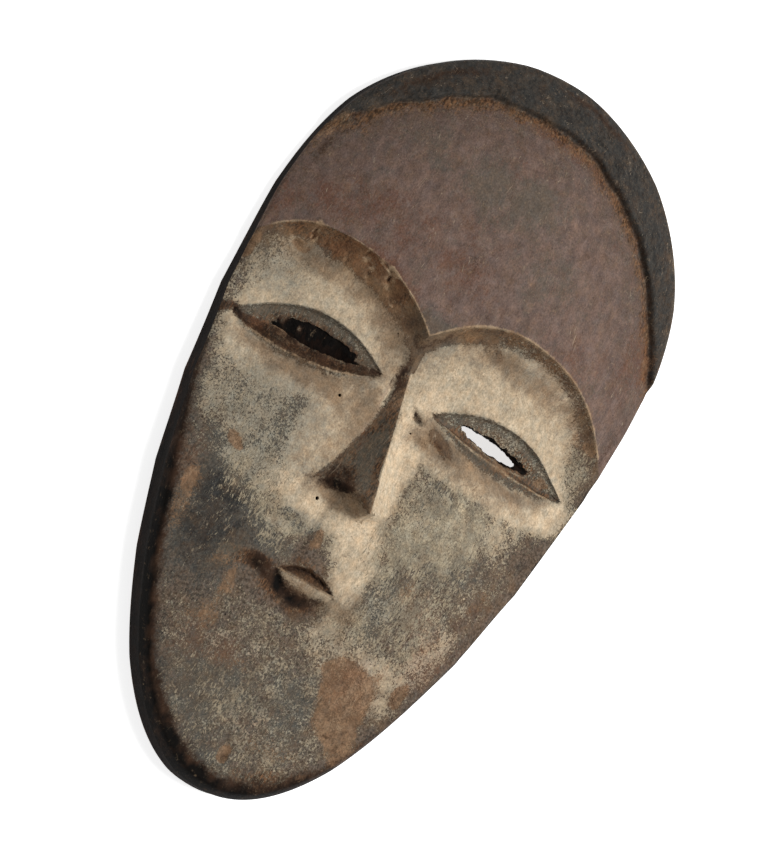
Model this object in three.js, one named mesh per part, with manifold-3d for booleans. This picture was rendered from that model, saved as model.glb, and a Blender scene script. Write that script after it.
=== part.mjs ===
// A miniature face mask carved from one piece of wood, lying face up on its flat back rim.
// Millimetres. x runs to the viewer's right, y towards the crown, z out of the face.

import * as THREE from 'three';
import { mergeVertices } from 'three/addons/utils/BufferGeometryUtils.js';
import Module from 'manifold-3d';

// The outline is an egg of two halves that meet on its widest line.
const LENGTH = 150;
const HALF_WIDTH = 42;
const WIDEST_Y = 25;
const CROWN_POWER = { along: 2.44, across: 1.8 };
const CHIN_POWER = { along: 1.7, across: 2.14 };
const POWERS_MEET_OVER = 16;
const CHIN_LEAN = 4.4;
const EGG_TURN = -2.1 * Math.PI / 180;

// The side wall leans in a little, and a bevel leads from it to the face.
const WALL_LEAN = 0.4;
const WALL_HEIGHT = { temple: 2.4, jaw: 5, from: 30, to: -10 };
const BEVEL_RISE = { temple: 0.8, jaw: 2.6 };
const BEVEL_RUN = { temple: 0.6, jaw: 1.7 };
const BEVEL_GROWS = { from: 0, to: -45 };

// The face is a dome, highest along its middle.
const CREST = { forehead: 15.5, chin: 13, from: 30, to: -50 };
const DOME_POWER = 1.15;

// The brow is one line with two arches that meet over the nose, and each runs on a little past its end.
const BROW_JOIN = { x: -5.2, y: 16 };
const BROW_LEFT = { apexX: -26.5, apexY: 24, endX: -41.5, endY: 16.3, inner: 2.2, outer: 2.6 };
const BROW_RIGHT = { apexX: 15, apexY: 26, endX: 41, endY: 14.6, inner: 2.4, outer: 2.3 };
const BROW_RUNS_ON = 1.3;

// Below the brow the wood is cut back to a scoop that runs out over the cheeks.
const BROW_STEP = { depth: 2.5, run: 2.6 };
const SCOOP = { depth: 1.7, start: 1.5, floor: 6.5 };
const LID_SWELL = { height: 1.1, start: 7, top: 13 };
const CHEEK_RETURN = { start: 15, end: 44 };
const TEMPLE_FADE = { least: 0.25, run: 12 };

// The hair is a low band round the crown, above a shallow valley in the forehead.
const HAIR = { middleX: -1, topY: 64.2, halfSpan: 38, drop: 23, power: 2.15 };
const HAIR_STEP = { height: 0.8, run: 0.5 };
const HAIR_VALLEY = { depth: 0.7, run: 6 };

// Each eye is an almond sunk in the scoop, with a slit along it that draws in, narrows and leans
// towards the back. Places are [x, y].
const EYES = [
  { outer: [-37.2, 2.6], inner: [-8.1, 6.3], above: 5.6, below: 4.4,
    slit: { outer: [-29.8, 4], inner: [-12.2, 5.7], above: 1.9, below: 1.4,
      back: { outer: 1.6, inner: 0.8, narrow: 0.5, lean: -1.2 } } },
  { outer: [36.8, 5.9], inner: [4.2, 5.3], above: 5.4, below: 3.2,
    slit: { outer: [29.2, 6.4], inner: [10.5, 6.5], above: 1.4, below: 1.5,
      back: { outer: 4.3, inner: 0.4, narrow: 0.85, lean: 0.1 } } },
];
const LID_STEP = { depth: 1.1, run: 0.9 };
const LID_SLOPE = 0.9;
const LOWER_LID = { ridge: 0.6, valley: 1, fade: 3.5, start: 1, share: 0.6 };

// A slit has its full outline at the face, which its cutter starts a little above.
const SLIT_FRONT = { outer: 0, inner: 0, narrow: 1, lean: 0 };
const SLIT_CUTTER = { foot: -1, overFace: 0.3, top: 16 };
const SLIT_SIDES = 12;

// The nose is a wedge that flares to its wings, with an underside that runs back to the lip.
const NOSE = { root: [-3.3, 9.5, 10.4], tip: [0.7, -18.1, 18] };
const NOSE_LEFT = { root: 1.4, wing: 11.2, power: 1.8, lift: 0.4 };
const NOSE_RIGHT = { root: 2.2, wing: 6.6, power: 1.3, lift: 2.6 };
const UNDERSIDE = [{ y: -19.3, z: 14.4, width: 0.75 }, { y: -20.8, z: 11, width: 0.3 }];
const NOSE_FOOT = { z: 6, sunk: 0.1 };
const NOSE_SECTIONS = 8;

// The mouth is a lens: a hollow under the upper lip and a ridged lower lip.
const MOUTH = { left: [-7.5, -34.2], right: [4.9, -33.5], above: 2.4, below: 3.6 };
const UPPER_LIP_CUT = { depth: 1.5, run: 0.7 };
const UNDER_LIP = { depth: 1.2, fade: 5 };

// The back is hollowed out, and leaves a flat rim all round.
const RIM = 6;
const HOLLOW_DEPTH = 7.2;
const HOLLOW_POWER = 2.4;
const HOLLOW_SHRINK = (LENGTH / 2 - RIM) / (LENGTH / 2);
const HOLLOW_NARROW = (HALF_WIDTH - RIM) / HALF_WIDTH / HOLLOW_SHRINK;
const HOLLOW_CUTTER_FOOT = -2;

const MERGE_WITHIN = 1e-3;

// How far to either side a line's steepness is read: near it, and more for each millimetre away from it.
const STEEPNESS = { near: 0.25, grows: 0.15 };

// The least slope and the least thickness of a lens that are divided by.
const FLAT = 1e-4;
const THIN = 0.1;

const clamp = THREE.MathUtils.clamp;
const lerp = THREE.MathUtils.lerp;
const smooth = (from, to, value) => {
  const part = clamp((value - from) / (to - from), 0, 1);
  return part * part * (3 - 2 * part);
};

// Half the egg's width and the lean of its middle line, at a height on its own axis.
function eggAt(y) {
  const upper = y > WIDEST_Y;
  const reach = upper ? LENGTH / 2 - WIDEST_Y : LENGTH / 2 + WIDEST_Y;
  const part = clamp(Math.abs(y - WIDEST_Y) / reach, 0, 1);
  const crownShare = smooth(WIDEST_Y - POWERS_MEET_OVER, WIDEST_Y + POWERS_MEET_OVER, y);
  const power = {
    along: (upper ? CROWN_POWER : CHIN_POWER).along,
    across: lerp(CHIN_POWER.across, CROWN_POWER.across, crownShare),
  };
  const half = HALF_WIDTH * Math.pow(1 - Math.pow(part, power.along), 1 / power.across);
  return { half, lean: upper ? 0 : CHIN_LEAN * part * part, part, power, reach };
}

// Turns a point of the egg's own axes into the mask's, or back.
function turned(x, y, angle) {
  const c = Math.cos(angle);
  const s = Math.sin(angle);
  return [c * x - s * y, s * x + c * y];
}

// How far out a point lies: 0 on the middle, 1 on the outline, with its distance to the outline.
function reachOf(x, y) {
  const [ex, ey] = turned(x, y, -EGG_TURN);
  const { lean, part, power, reach } = eggAt(ey);
  const side = Math.abs(ex - lean) / HALF_WIDTH;
  const value = Math.pow(side, power.across) + Math.pow(part, power.along);
  const slopeX = power.across * Math.pow(side, power.across - 1) / HALF_WIDTH;
  const slopeY = power.along * Math.pow(part, power.along - 1) / reach;
  const slope = Math.max(Math.hypot(slopeX, slopeY), FLAT);
  return { value: Math.min(value, 1), inward: Math.max((1 - value) / slope, 0) };
}

function archAt(arch, x) {
  const outside = (x - arch.apexX) * Math.sign(arch.endX) > 0;
  const [toX, toY, power] = outside
    ? [arch.endX, arch.endY, arch.outer]
    : [BROW_JOIN.x, BROW_JOIN.y, arch.inner];
  const part = clamp((x - arch.apexX) / (toX - arch.apexX), 0, BROW_RUNS_ON);
  return arch.apexY + (toY - arch.apexY) * Math.pow(part, power);
}

const browAt = (x) => archAt(x < BROW_JOIN.x ? BROW_LEFT : BROW_RIGHT, x);

function hairAt(x) {
  return HAIR.topY - HAIR.drop * Math.pow(Math.abs(x - HAIR.middleX) / HAIR.halfSpan, HAIR.power);
}

// Distance to a line y = curve(x), positive above it. The line's steepness is the mean of both sides,
// so that places below a corner have no jump between them.
function aboveLine(curve, x, y) {
  const here = curve(x);
  const step = STEEPNESS.near + STEEPNESS.grows * Math.abs(y - here);
  const left = (here - curve(x - step)) / step;
  const right = (curve(x + step) - here) / step;
  return (y - here) / Math.sqrt(1 + (left * left + right * right) / 2);
}

// A point in a lens's own terms: part of the way along it, and height off its chord.
function lensAt(lens, from, to, x, y) {
  const dx = to[0] - from[0];
  const dy = to[1] - from[1];
  const length = Math.hypot(dx, dy);
  const turn = Math.sign(dx);
  const along = ((x - from[0]) * dx + (y - from[1]) * dy) / (length * length);
  const off = turn * ((y - from[1]) * dx - (x - from[0]) * dy) / length;
  const swell = 4 * clamp(along, 0, 1) * (1 - clamp(along, 0, 1));
  return { along, off, top: lens.above * swell, bottom: lens.below * swell, swell };
}

const wallTop = (y) => lerp(WALL_HEIGHT.temple, WALL_HEIGHT.jaw, smooth(WALL_HEIGHT.from, WALL_HEIGHT.to, y));

function dome(x, y) {
  const { value, inward } = reachOf(x, y);
  const jaw = smooth(BEVEL_GROWS.from, BEVEL_GROWS.to, y);
  const rise = lerp(BEVEL_RISE.temple, BEVEL_RISE.jaw, jaw);
  const run = lerp(BEVEL_RUN.temple, BEVEL_RUN.jaw, jaw);
  const edge = wallTop(y) + rise * Math.sin(Math.PI / 2 * clamp(inward / run, 0, 1));
  const crest = lerp(CREST.forehead, CREST.chin, smooth(CREST.from, CREST.to, y));
  return edge + (crest - wallTop(y) - rise) * (1 - Math.pow(value, DOME_POWER));
}

function scoop(x, y) {
  const below = -aboveLine(browAt, x, y);
  const cut = BROW_STEP.depth * smooth(0, BROW_STEP.run, below)
    + SCOOP.depth * smooth(SCOOP.start, SCOOP.floor, below)
    - LID_SWELL.height * smooth(LID_SWELL.start, LID_SWELL.top, below);
  const edge = lerp(TEMPLE_FADE.least, 1, smooth(0, TEMPLE_FADE.run, reachOf(x, y).inward));
  return cut * edge * (1 - smooth(CHEEK_RETURN.start, CHEEK_RETURN.end, below));
}

function hair(x, y) {
  const above = aboveLine(hairAt, x, y);
  const valley = HAIR_VALLEY.depth * smooth(-HAIR_VALLEY.run, 0, above);
  return (HAIR_STEP.height + HAIR_VALLEY.depth) * smooth(0, HAIR_STEP.run, above) - valley;
}

function eyeCut(eye, x, y) {
  const { off, top, bottom, swell } = lensAt(eye, eye.outer, eye.inner, x, y);
  const inside = top - off;
  const upper = LID_STEP.depth * smooth(0, LID_STEP.run, inside)
    + LID_SLOPE * smooth(LID_STEP.run, Math.max(top, LID_STEP.run + THIN), inside);
  if (off > 0) return upper * Math.sqrt(swell);
  const full = LID_STEP.depth + LID_SLOPE;
  const down = -off;
  const ridgeAt = bottom * LOWER_LID.share + LOWER_LID.start;
  const lid = lerp(full, LOWER_LID.ridge, smooth(LOWER_LID.start, ridgeAt, down));
  const valley = smooth(ridgeAt, bottom + LOWER_LID.share, down);
  const lower = lid + (LOWER_LID.valley - LOWER_LID.ridge) * valley;
  return lower * Math.sqrt(swell) * (1 - smooth(bottom, bottom + LOWER_LID.fade, down));
}

function mouthCut(x, y) {
  const { off, top, bottom, swell } = lensAt(MOUTH, MOUTH.left, MOUTH.right, x, y);
  const inside = top - off;
  const height = clamp(off / Math.max(top, THIN), 0, 1);
  const upper = UPPER_LIP_CUT.depth * smooth(0, UPPER_LIP_CUT.run, inside) * height;
  const fade = smooth(bottom, bottom + UNDER_LIP.fade, -off);
  const under = UNDER_LIP.depth * smooth(0, bottom, -off) * (1 - fade);
  return (upper + under) * Math.sqrt(swell);
}

// The height of the face, but for the nose, over a place on its plan.
function faceAt(x, y) {
  const eyes = EYES.reduce((sum, eye) => sum + eyeCut(eye, x, y), 0);
  return dome(x, y) - scoop(x, y) + hair(x, y) - eyes - mouthCut(x, y);
}

// A point a share of the way across the egg at a height on its own axis, in the mask's axes.
function across(share, eggY, shrink = 1) {
  const { half, lean } = eggAt(eggY);
  return turned((lean + half * share) * shrink, eggY * shrink, EGG_TURN);
}

// The egg height at which a share across it meets a line y = curve(x), found by small steps.
function meets(curve, share) {
  const STEPS = 12;
  const STRIDE = 0.7;
  let eggY = WIDEST_Y;
  for (let i = 0; i < STEPS; i += 1) {
    const [x, y] = across(share, eggY);
    eggY = clamp(eggY + STRIDE * (curve(x) - y), -LENGTH / 2, LENGTH / 2);
  }
  return eggY;
}

// Steps over each stretch of [end, count, closing], from a start. A closing of 2 crowds towards the end.
function stations(start, stretches) {
  const out = [start];
  let from = start;
  for (const [end, count, closing = 1] of stretches) {
    for (let i = 1; i <= count; i += 1) out.push(lerp(end, from, Math.pow(1 - i / count, closing)));
    from = end;
  }
  return out;
}

// The upper or lower edge of a lens as a line across the whole face, level past its ends.
function lensLine(lens, from, to, upper) {
  const least = 0.5;
  return (x) => {
    const at = lensAt(lens, from, to, x, 0);
    const share = clamp((x - from[0]) / (to[0] - from[0]), 0, 1);
    const chord = lerp(from[1], to[1], share);
    return chord + (upper ? Math.max(at.top, least) : -Math.max(at.bottom, least));
  };
}

const eyeLine = (upper) => {
  const [left, right] = EYES.map((eye) => lensLine(eye, eye.outer, eye.inner, upper));
  const middle = (EYES[0].inner[0] + EYES[1].inner[0]) / 2;
  return (x) => (x < middle ? left(x) : right(x));
};
const mouthLine = (upper) => lensLine(MOUTH, MOUTH.left, MOUTH.right, upper);

// The lines that rows of points follow, from the crown down, with the rows from each to the next.
const CROWN = () => LENGTH;
const CHIN = () => -LENGTH;
const LINES = [
  { line: CROWN, next: [[0.12, 4], [0.5, 3], [0.96, 2], [1, 1]] },
  { line: hairAt, next: [[0.25, 2], [0.93, 4], [1, 1]] },
  { line: browAt, next: [[0.17, 2], [0.45, 3], [1, 3]] },
  { line: eyeLine(true), next: [[0.1, 1], [1, 7]] },
  { line: eyeLine(false), next: [[0.15, 3], [0.95, 7], [1, 1]] },
  { line: mouthLine(true), next: [[0.12, 1], [1, 5]] },
  { line: mouthLine(false), next: [[0.12, 2], [0.7, 7], [1, 7, 2]] },
  { line: CHIN, next: [] },
];
const COLUMNS = stations(-1, [[-0.97, 2], [-0.25, 18], [0.2, 16], [0.97, 18], [1, 2]]);

// Rows of points over the egg, from the chin to the crown.
function faceRows() {
  const heights = LINES.map(({ line }) => COLUMNS.map((share) => meets(line, share)));
  const rows = [];
  LINES.forEach(({ next }, k) => {
    const parts = stations(0, next).slice(k === 0 ? 0 : 1);
    for (const part of next.length ? parts : []) {
      rows.push(COLUMNS.map((share, i) => across(share, lerp(heights[k][i], heights[k + 1][i], part))));
    }
  });
  return rows.reverse();
}

// A closed solid between a height over rows of points and a flat floor, with a wall between.
function closedOver(rows, height, rimHeight, lean, floor) {
  const points = [];
  const faces = [];
  const last = rows[0].length - 1;
  const put = (x, y, z) => points.push(x, y, z) / 3 - 1;
  const heightOf = (point) => points[3 * point + 2];
  const pulled = ([x, y], by) => {
    const length = Math.hypot(x, y);
    return [x * (1 - by / length), y * (1 - by / length)];
  };
  const onEdge = (j, i) => i === 0 || i === last || j === 0 || j === rows.length - 1;
  const top = rows.map((row, j) => row.map((place, i) => {
    if (!onEdge(j, i)) return put(...place, height(...place));
    return put(...pulled(place, lean), rimHeight(place[1]));
  }));
  const foot = rows.map((row) => [row[0], row[last]].map((place) => put(...place, floor)));
  for (let j = 0; j + 1 < rows.length; j += 1) {
    for (let i = 0; i < last; i += 1) {
      const [a, b, c, d] = [top[j][i], top[j][i + 1], top[j + 1][i + 1], top[j + 1][i]];
      const [ax, ay] = rows[j][i];
      const [cx, cy] = rows[j + 1][i + 1];
      const middle = 2 * height((ax + cx) / 2, (ay + cy) / 2);
      const rising = Math.abs(heightOf(a) + heightOf(c) - middle);
      const falling = Math.abs(heightOf(b) + heightOf(d) - middle);
      faces.push(...(rising < falling ? [[a, b, c], [a, c, d]] : [[a, b, d], [b, c, d]]));
    }
    const [l0, r0] = foot[j];
    const [l1, r1] = foot[j + 1];
    faces.push([l0, l1, r1], [l0, r1, r0]);
    faces.push([l0, top[j][0], top[j + 1][0]], [l0, top[j + 1][0], l1]);
    faces.push([r0, r1, top[j + 1][last]], [r0, top[j + 1][last], top[j][last]]);
  }
  return solidOf(points, faces);
}

function solidOf(points, faces) {
  const geometry = new THREE.BufferGeometry();
  geometry.setAttribute('position', new THREE.Float32BufferAttribute(points, 3));
  geometry.setIndex(faces.flat());
  const merged = mergeVertices(geometry, MERGE_WITHIN);
  const index = merged.index.array;
  const kept = [];
  for (let i = 0; i < index.length; i += 3) {
    const [a, b, c] = index.slice(i, i + 3);
    if (a !== b && b !== c && c !== a) kept.push(a, b, c);
  }
  const vertProperties = new Float32Array(merged.attributes.position.array);
  return new wasm.Manifold(new wasm.Mesh({ numProp: 3, vertProperties, triVerts: new Uint32Array(kept) }));
}

// The nose: sections from the root to the tip and back to the lip, with its foot sunk in the face.
function noseSolid() {
  const { root, tip } = NOSE;
  const section = (ridge, left, right, lift) => {
    const leftFoot = [ridge[0] - left, ridge[1] + NOSE_LEFT.lift * lift];
    const rightFoot = [ridge[0] + right, ridge[1] + NOSE_RIGHT.lift * lift];
    return [
      [...leftFoot, NOSE_FOOT.z],
      [...rightFoot, NOSE_FOOT.z],
      [...rightFoot, faceAt(...rightFoot) - NOSE_FOOT.sunk],
      ridge,
      [...leftFoot, faceAt(...leftFoot) - NOSE_FOOT.sunk],
    ];
  };
  const rings = [];
  for (let i = 0; i <= NOSE_SECTIONS; i += 1) {
    const part = i / NOSE_SECTIONS;
    const ridge = root.map((value, axis) => lerp(value, tip[axis], part));
    const left = lerp(NOSE_LEFT.root, NOSE_LEFT.wing, Math.pow(part, NOSE_LEFT.power));
    const right = lerp(NOSE_RIGHT.root, NOSE_RIGHT.wing, Math.pow(part, NOSE_RIGHT.power));
    rings.push(section(ridge, left, right, part * part));
  }
  for (const { y, z, width } of UNDERSIDE) {
    rings.push(section([tip[0], y, z], NOSE_LEFT.wing * width, NOSE_RIGHT.wing * width, 0));
  }
  return loft(rings);
}

// The cutter for an eye slit: a full lens down to the face, and from there to the hollow its back lens.
function slitSolid({ outer, inner, above, below, back }) {
  const dx = inner[0] - outer[0];
  const dy = inner[1] - outer[1];
  const length = Math.hypot(dx, dy);
  const up = [-dy / length * Math.sign(dx), Math.abs(dx) / length];
  const ring = (cut, heightAt) => {
    const out = [];
    for (let i = 0; i < 2 * SLIT_SIDES; i += 1) {
      const forth = i < SLIT_SIDES;
      const share = forth ? i / SLIT_SIDES : 2 - i / SLIT_SIDES;
      const off = 4 * share * (1 - share) * cut.narrow * (forth ? -below : above) + cut.lean;
      const along = lerp(cut.outer / length, 1 - cut.inner / length, share);
      const chord = [outer[0] + dx * along, outer[1] + dy * along];
      out.push([chord[0] + up[0] * off, chord[1] + up[1] * off, heightAt(...chord)]);
    }
    return dx > 0 ? out : out.reverse();
  };
  return loft([
    ring(back, () => SLIT_CUTTER.foot),
    ring(back, hollowAt),
    ring(SLIT_FRONT, (x, y) => faceAt(x, y) + SLIT_CUTTER.overFace),
    ring(SLIT_FRONT, () => SLIT_CUTTER.top),
  ]);
}

// A closed solid through rings of points, all anticlockwise seen from above, lowest first.
function loft(rings) {
  const count = rings[0].length;
  const faces = [];
  for (let r = 0; r + 1 < rings.length; r += 1) {
    for (let i = 0; i < count; i += 1) {
      const next = (i + 1) % count;
      const [a, b, c, d] = [r * count + i, r * count + next, (r + 1) * count + next, (r + 1) * count + i];
      faces.push([a, b, c], [a, c, d]);
    }
  }
  const top = (rings.length - 1) * count;
  for (let i = 1; i + 1 < count; i += 1) {
    faces.push([0, i + 1, i], [top, top + i, top + i + 1]);
  }
  return solidOf(rings.flat(2), faces);
}

// How far the hollow reaches up from the back over a place on the plan.
function hollowAt(x, y) {
  const [ex, ey] = turned(x / HOLLOW_SHRINK, y / HOLLOW_SHRINK, -EGG_TURN);
  const { lean, part, power } = eggAt(ey);
  const side = Math.abs(ex - lean) / HOLLOW_NARROW / HALF_WIDTH;
  const value = Math.pow(side, power.across) + Math.pow(part, power.along);
  return HOLLOW_DEPTH * (1 - Math.pow(Math.min(value, 1), HOLLOW_POWER));
}

// The hollow in the back, a bowl that follows the outline.
function hollowSolid() {
  const shares = stations(-1, [[-0.9, 2], [0.9, 14], [1, 2]]);
  const heights = stations(-1, [[-0.96, 3], [-0.8, 3], [0.8, 16], [0.96, 3], [1, 3]]);
  const rows = heights.map((height) => shares.map(
    (share) => across(share * HOLLOW_NARROW, height * LENGTH / 2, HOLLOW_SHRINK),
  ));
  return closedOver(rows, hollowAt, () => 0, 0, HOLLOW_CUTTER_FOOT);
}

const wasm = await Module();
wasm.setup();

function geometryOf(solid) {
  const { numProp, vertProperties, triVerts } = solid.getMesh();
  const points = [];
  for (let i = 0; i < vertProperties.length; i += numProp) points.push(...vertProperties.slice(i, i + 3));
  const geometry = new THREE.BufferGeometry();
  geometry.setAttribute('position', new THREE.Float32BufferAttribute(points, 3));
  geometry.setIndex([...triVerts]);
  return geometry;
}

const block = closedOver(faceRows(), faceAt, wallTop, WALL_LEAN, 0);
const carved = EYES.reduce((solid, eye) => solid.subtract(slitSolid(eye.slit)), block.add(noseSolid()));
const maskGeometry = geometryOf(carved.subtract(hollowSolid()));

// The origin is the middle of the box round the mask, on the plane it lies on.
maskGeometry.computeBoundingBox();
const middle = maskGeometry.boundingBox.getCenter(new THREE.Vector3());
maskGeometry.translate(-middle.x, -middle.y, 0);

const wood = new THREE.MeshStandardMaterial({ color: 0x6b5f54, roughness: 0.85, metalness: 0 });
const mask = new THREE.Mesh(maskGeometry, wood);
mask.name = 'mask';

const object = new THREE.Group();
object.add(mask);

export default object;
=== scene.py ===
"""Dresses a miniature face mask: one carving in wood, painted, worn and hollow behind, lying face up."""

import logging
import math
from collections.abc import Callable
from dataclasses import dataclass, field
from enum import Enum

import bmesh
import bpy
import numpy as np
from mathutils import Matrix, Vector


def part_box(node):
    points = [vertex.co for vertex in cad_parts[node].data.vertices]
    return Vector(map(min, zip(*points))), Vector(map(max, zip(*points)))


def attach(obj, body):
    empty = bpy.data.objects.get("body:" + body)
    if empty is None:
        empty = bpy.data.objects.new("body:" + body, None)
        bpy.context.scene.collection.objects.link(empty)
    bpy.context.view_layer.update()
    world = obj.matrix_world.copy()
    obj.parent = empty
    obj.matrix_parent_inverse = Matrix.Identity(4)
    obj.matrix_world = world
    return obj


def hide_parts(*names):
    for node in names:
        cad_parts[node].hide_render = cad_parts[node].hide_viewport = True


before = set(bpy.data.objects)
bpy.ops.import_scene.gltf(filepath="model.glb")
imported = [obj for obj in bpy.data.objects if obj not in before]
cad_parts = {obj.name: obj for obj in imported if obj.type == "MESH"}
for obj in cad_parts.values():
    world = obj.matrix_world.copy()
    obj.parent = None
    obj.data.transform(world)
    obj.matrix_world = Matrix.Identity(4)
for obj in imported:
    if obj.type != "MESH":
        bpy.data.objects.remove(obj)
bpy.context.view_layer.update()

NODE = "mask"
BODY = "root"
MM = 0.001
IMAGE_WIDTH, IMAGE_HEIGHT = 767, 850
LOG = logging.getLogger("mask")

Array = np.ndarray
Line = Callable[[Array], Array]
Colour = tuple[float, float, float]
Given = bpy.types.bpy_prop_collection
Mesh = bpy.types.Mesh
Node = bpy.types.Node
NodeTree = bpy.types.NodeTree
Socket = bpy.types.NodeSocket
Finish = bpy.types.Material
Piece = bpy.types.Object


def smooth(start: float, end: float, value: Array) -> Array:
    """Eases from 0 at a start to 1 at an end.

    Args:
        start: where the step begins.
        end: where the step is complete.
        value: the places to read it at.

    Returns:
        The step's height, from 0 to 1.
    """
    part = np.clip((value - start) / (end - start), 0.0, 1.0)
    return part * part * (3.0 - 2.0 * part)


def fades(start: float, end: float, value: Array) -> Array:
    """Eases from 1 at a start to 0 at an end."""
    return 1.0 - smooth(start, end, value)


def bell(value: Array, width: float) -> Array:
    """Falls off on either side of 0, where it is 1, as a bell of a width."""
    return np.exp(-((value / width) ** 2))


def crisp(run: float, value: Array, power: float = 1.7) -> Array:
    """Rises from 0 to 1 over a run, steep at first, as a knife cut does below its edge.

    Args:
        run: how far the cut reaches.
        value: the distance from the edge.
        power: how much steeper the cut is at its edge.

    Returns:
        The share of the cut's depth.
    """
    return 1.0 - (1.0 - np.clip(value / run, 0.0, 1.0)) ** power


def mix(first: Array, second: Array, share: Array) -> Array:
    """Goes from a first value to a second by a share."""
    return first + (second - first) * share


def turned(x: Array, y: Array, angle: float) -> tuple[Array, Array]:
    """Turns places about the origin by an angle in radians."""
    c, s = math.cos(angle), math.sin(angle)
    return c * x - s * y, s * x + c * y


def above(line: Line, x: Array, y: Array, near: float = 0.25, grows: float = 0.15) -> Array:
    """Measures how far places lie above a line, with no jump below its corners.

    Args:
        line: gives the line's y at an x.
        x, y: the places.
        near: how far to either side the line's steepness is read, close to it.
        grows: how much further it is read for each millimetre away from the line.

    Returns:
        The distance, negative below the line.
    """
    here = line(x)
    step = near + grows * np.abs(y - here)
    left, right = (here - line(x - step)) / step, (line(x + step) - here) / step
    return (y - here) / np.sqrt(1.0 + (left**2 + right**2) / 2.0)


@dataclass(frozen=True)
class Unevenness:
    """Smooth random heights over a plane, from -1 to 1, the same at each run."""

    seed: int
    cells: int = 97

    def at(self, x: Array, y: Array, size: float) -> Array:
        """Reads one layer of bumps of a size.

        Args:
            x, y: the places.
            size: how far apart the bumps are.

        Returns:
            Heights from -1 to 1.
        """
        table = np.random.default_rng(self.seed).uniform(-1.0, 1.0, (self.cells, self.cells))
        u, v = np.asarray(x) / size, np.asarray(y) / size
        i, j = np.floor(u).astype(int), np.floor(v).astype(int)
        du, dv = smooth(0.0, 1.0, u - i), smooth(0.0, 1.0, v - j)
        i0, i1, j0, j1 = i % self.cells, (i + 1) % self.cells, j % self.cells, (j + 1) % self.cells
        low = mix(table[i0, j0], table[i1, j0], du)
        high = mix(table[i0, j1], table[i1, j1], du)
        return mix(low, high, dv)

    def layered(self, x: Array, y: Array, size: float, layers: int = 3) -> Array:
        """Adds layers of bumps, each half the size and height of the last.

        Args:
            x, y: the places.
            size: how far apart the largest bumps are.
            layers: how many layers there are.

        Returns:
            Heights from -1 to 1.
        """
        total = np.zeros_like(np.asarray(x, float))
        for k in range(layers):
            total = total + self.at(x + 7.3 * k, y - 3.1 * k, size / 2**k) / 2**k
        return total / (2.0 - 2.0 ** (1 - layers))


@dataclass(frozen=True)
class Power:
    """How square one half of the egg is, along it and across it."""

    along: float
    across: float


@dataclass(frozen=True)
class Egg:
    """The mask's outline: two halves that meet on its widest line, in millimetres."""

    length: float = 150.0
    half_width: float = 42.0
    widest_y: float = 25.0
    crown: Power = Power(2.44, 1.8)
    chin: Power = Power(1.7, 2.14)
    powers_meet_over: float = 16.0
    chin_lean: float = 4.4
    turn: float = math.radians(-2.1)
    facets: tuple[float, ...] = (12, 37, 52, 71, 98, 127, 146, 171, 196, 219, 236, 252, 268, 291, 318, 340)
    facet_depth: float = 0.28

    def at(self, y: Array) -> tuple[Array, Array, Array, Array, Array, Array]:
        """Measures the egg at heights on its own axis.

        Args:
            y: the heights.

        Returns:
            Half its width, its middle line's lean, how far out the height is, its two powers and its reach.
        """
        upper = y > self.widest_y
        reach = np.where(upper, self.length / 2 - self.widest_y, self.length / 2 + self.widest_y)
        part = np.clip(np.abs(y - self.widest_y) / reach, 0.0, 1.0)
        along = np.where(upper, self.crown.along, self.chin.along)
        meet = self.powers_meet_over
        share = smooth(self.widest_y - meet, self.widest_y + meet, y)
        across = mix(self.chin.across, self.crown.across, share)
        half = self.half_width * (1.0 - part**along) ** (1.0 / across)
        lean = np.where(upper, 0.0, self.chin_lean * part * part)
        return half, lean, part, along, across, reach

    def reach(self, x: Array, y: Array, narrow: float = 1.0) -> tuple[Array, Array]:
        """Says how far out places lie.

        Args:
            x, y: the places.
            narrow: how much narrower the egg is taken to be.

        Returns:
            0 on the middle to 1 on the outline, and the distance to the outline.
        """
        ex, ey = turned(x, y, -self.turn)
        _, lean, part, along, across, reach = self.at(ey)
        side = np.abs(ex - lean) / (self.half_width * narrow)
        value = side**across + part**along
        slope_x = across * side ** (across - 1.0) / self.half_width
        slope_y = along * part ** (along - 1.0) / reach
        slope = np.maximum(np.hypot(slope_x, slope_y), 1e-4)
        return np.minimum(value, 1.0), np.maximum((1.0 - value) / slope, 0.0)

    def place(self, share: Array, y: Array, shrink: float = 1.0) -> tuple[Array, Array]:
        """Finds the places a share of the way across the egg.

        Args:
            share: -1 on the left outline to 1 on the right.
            y: heights on the egg's own axis.
            shrink: how much smaller the egg is taken to be.

        Returns:
            The places' x and y.
        """
        half, lean, *_ = self.at(y)
        return turned((lean + half * share) * shrink, y * shrink, self.turn)

    def share_of(self, x: Array, y: Array) -> Array:
        """Finds the share across the egg at which places lie.

        Args:
            x, y: the places.

        Returns:
            -1 on the left outline to 1 on the right.
        """
        ex, ey = turned(x, y, -self.turn)
        half, lean, *_ = self.at(ey)
        return (ex - lean) / np.maximum(half, 0.1)

    def cut_facets(self, x: Array, y: Array) -> tuple[Array, Array]:
        """Pulls places near the outline in between the corners that the knife left.

        Args:
            x, y: the places.

        Returns:
            The places' new x and y.
        """
        angle = np.degrees(np.arctan2(y, x)) % 360.0
        corners = np.array([self.facets[-1] - 360.0, *self.facets, self.facets[0] + 360.0])
        k = np.clip(np.searchsorted(corners, angle, side="right") - 1, 0, len(corners) - 2)
        share = (angle - corners[k]) / (corners[k + 1] - corners[k])
        wide = (corners[k + 1] - corners[k]) / 25.0
        value, _ = self.reach(x, y)
        pull = self.facet_depth * wide * 4.0 * share * (1.0 - share) * value**8
        scale = 1.0 - pull / np.maximum(np.hypot(x, y), 1.0)
        return x * scale, y * scale


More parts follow.
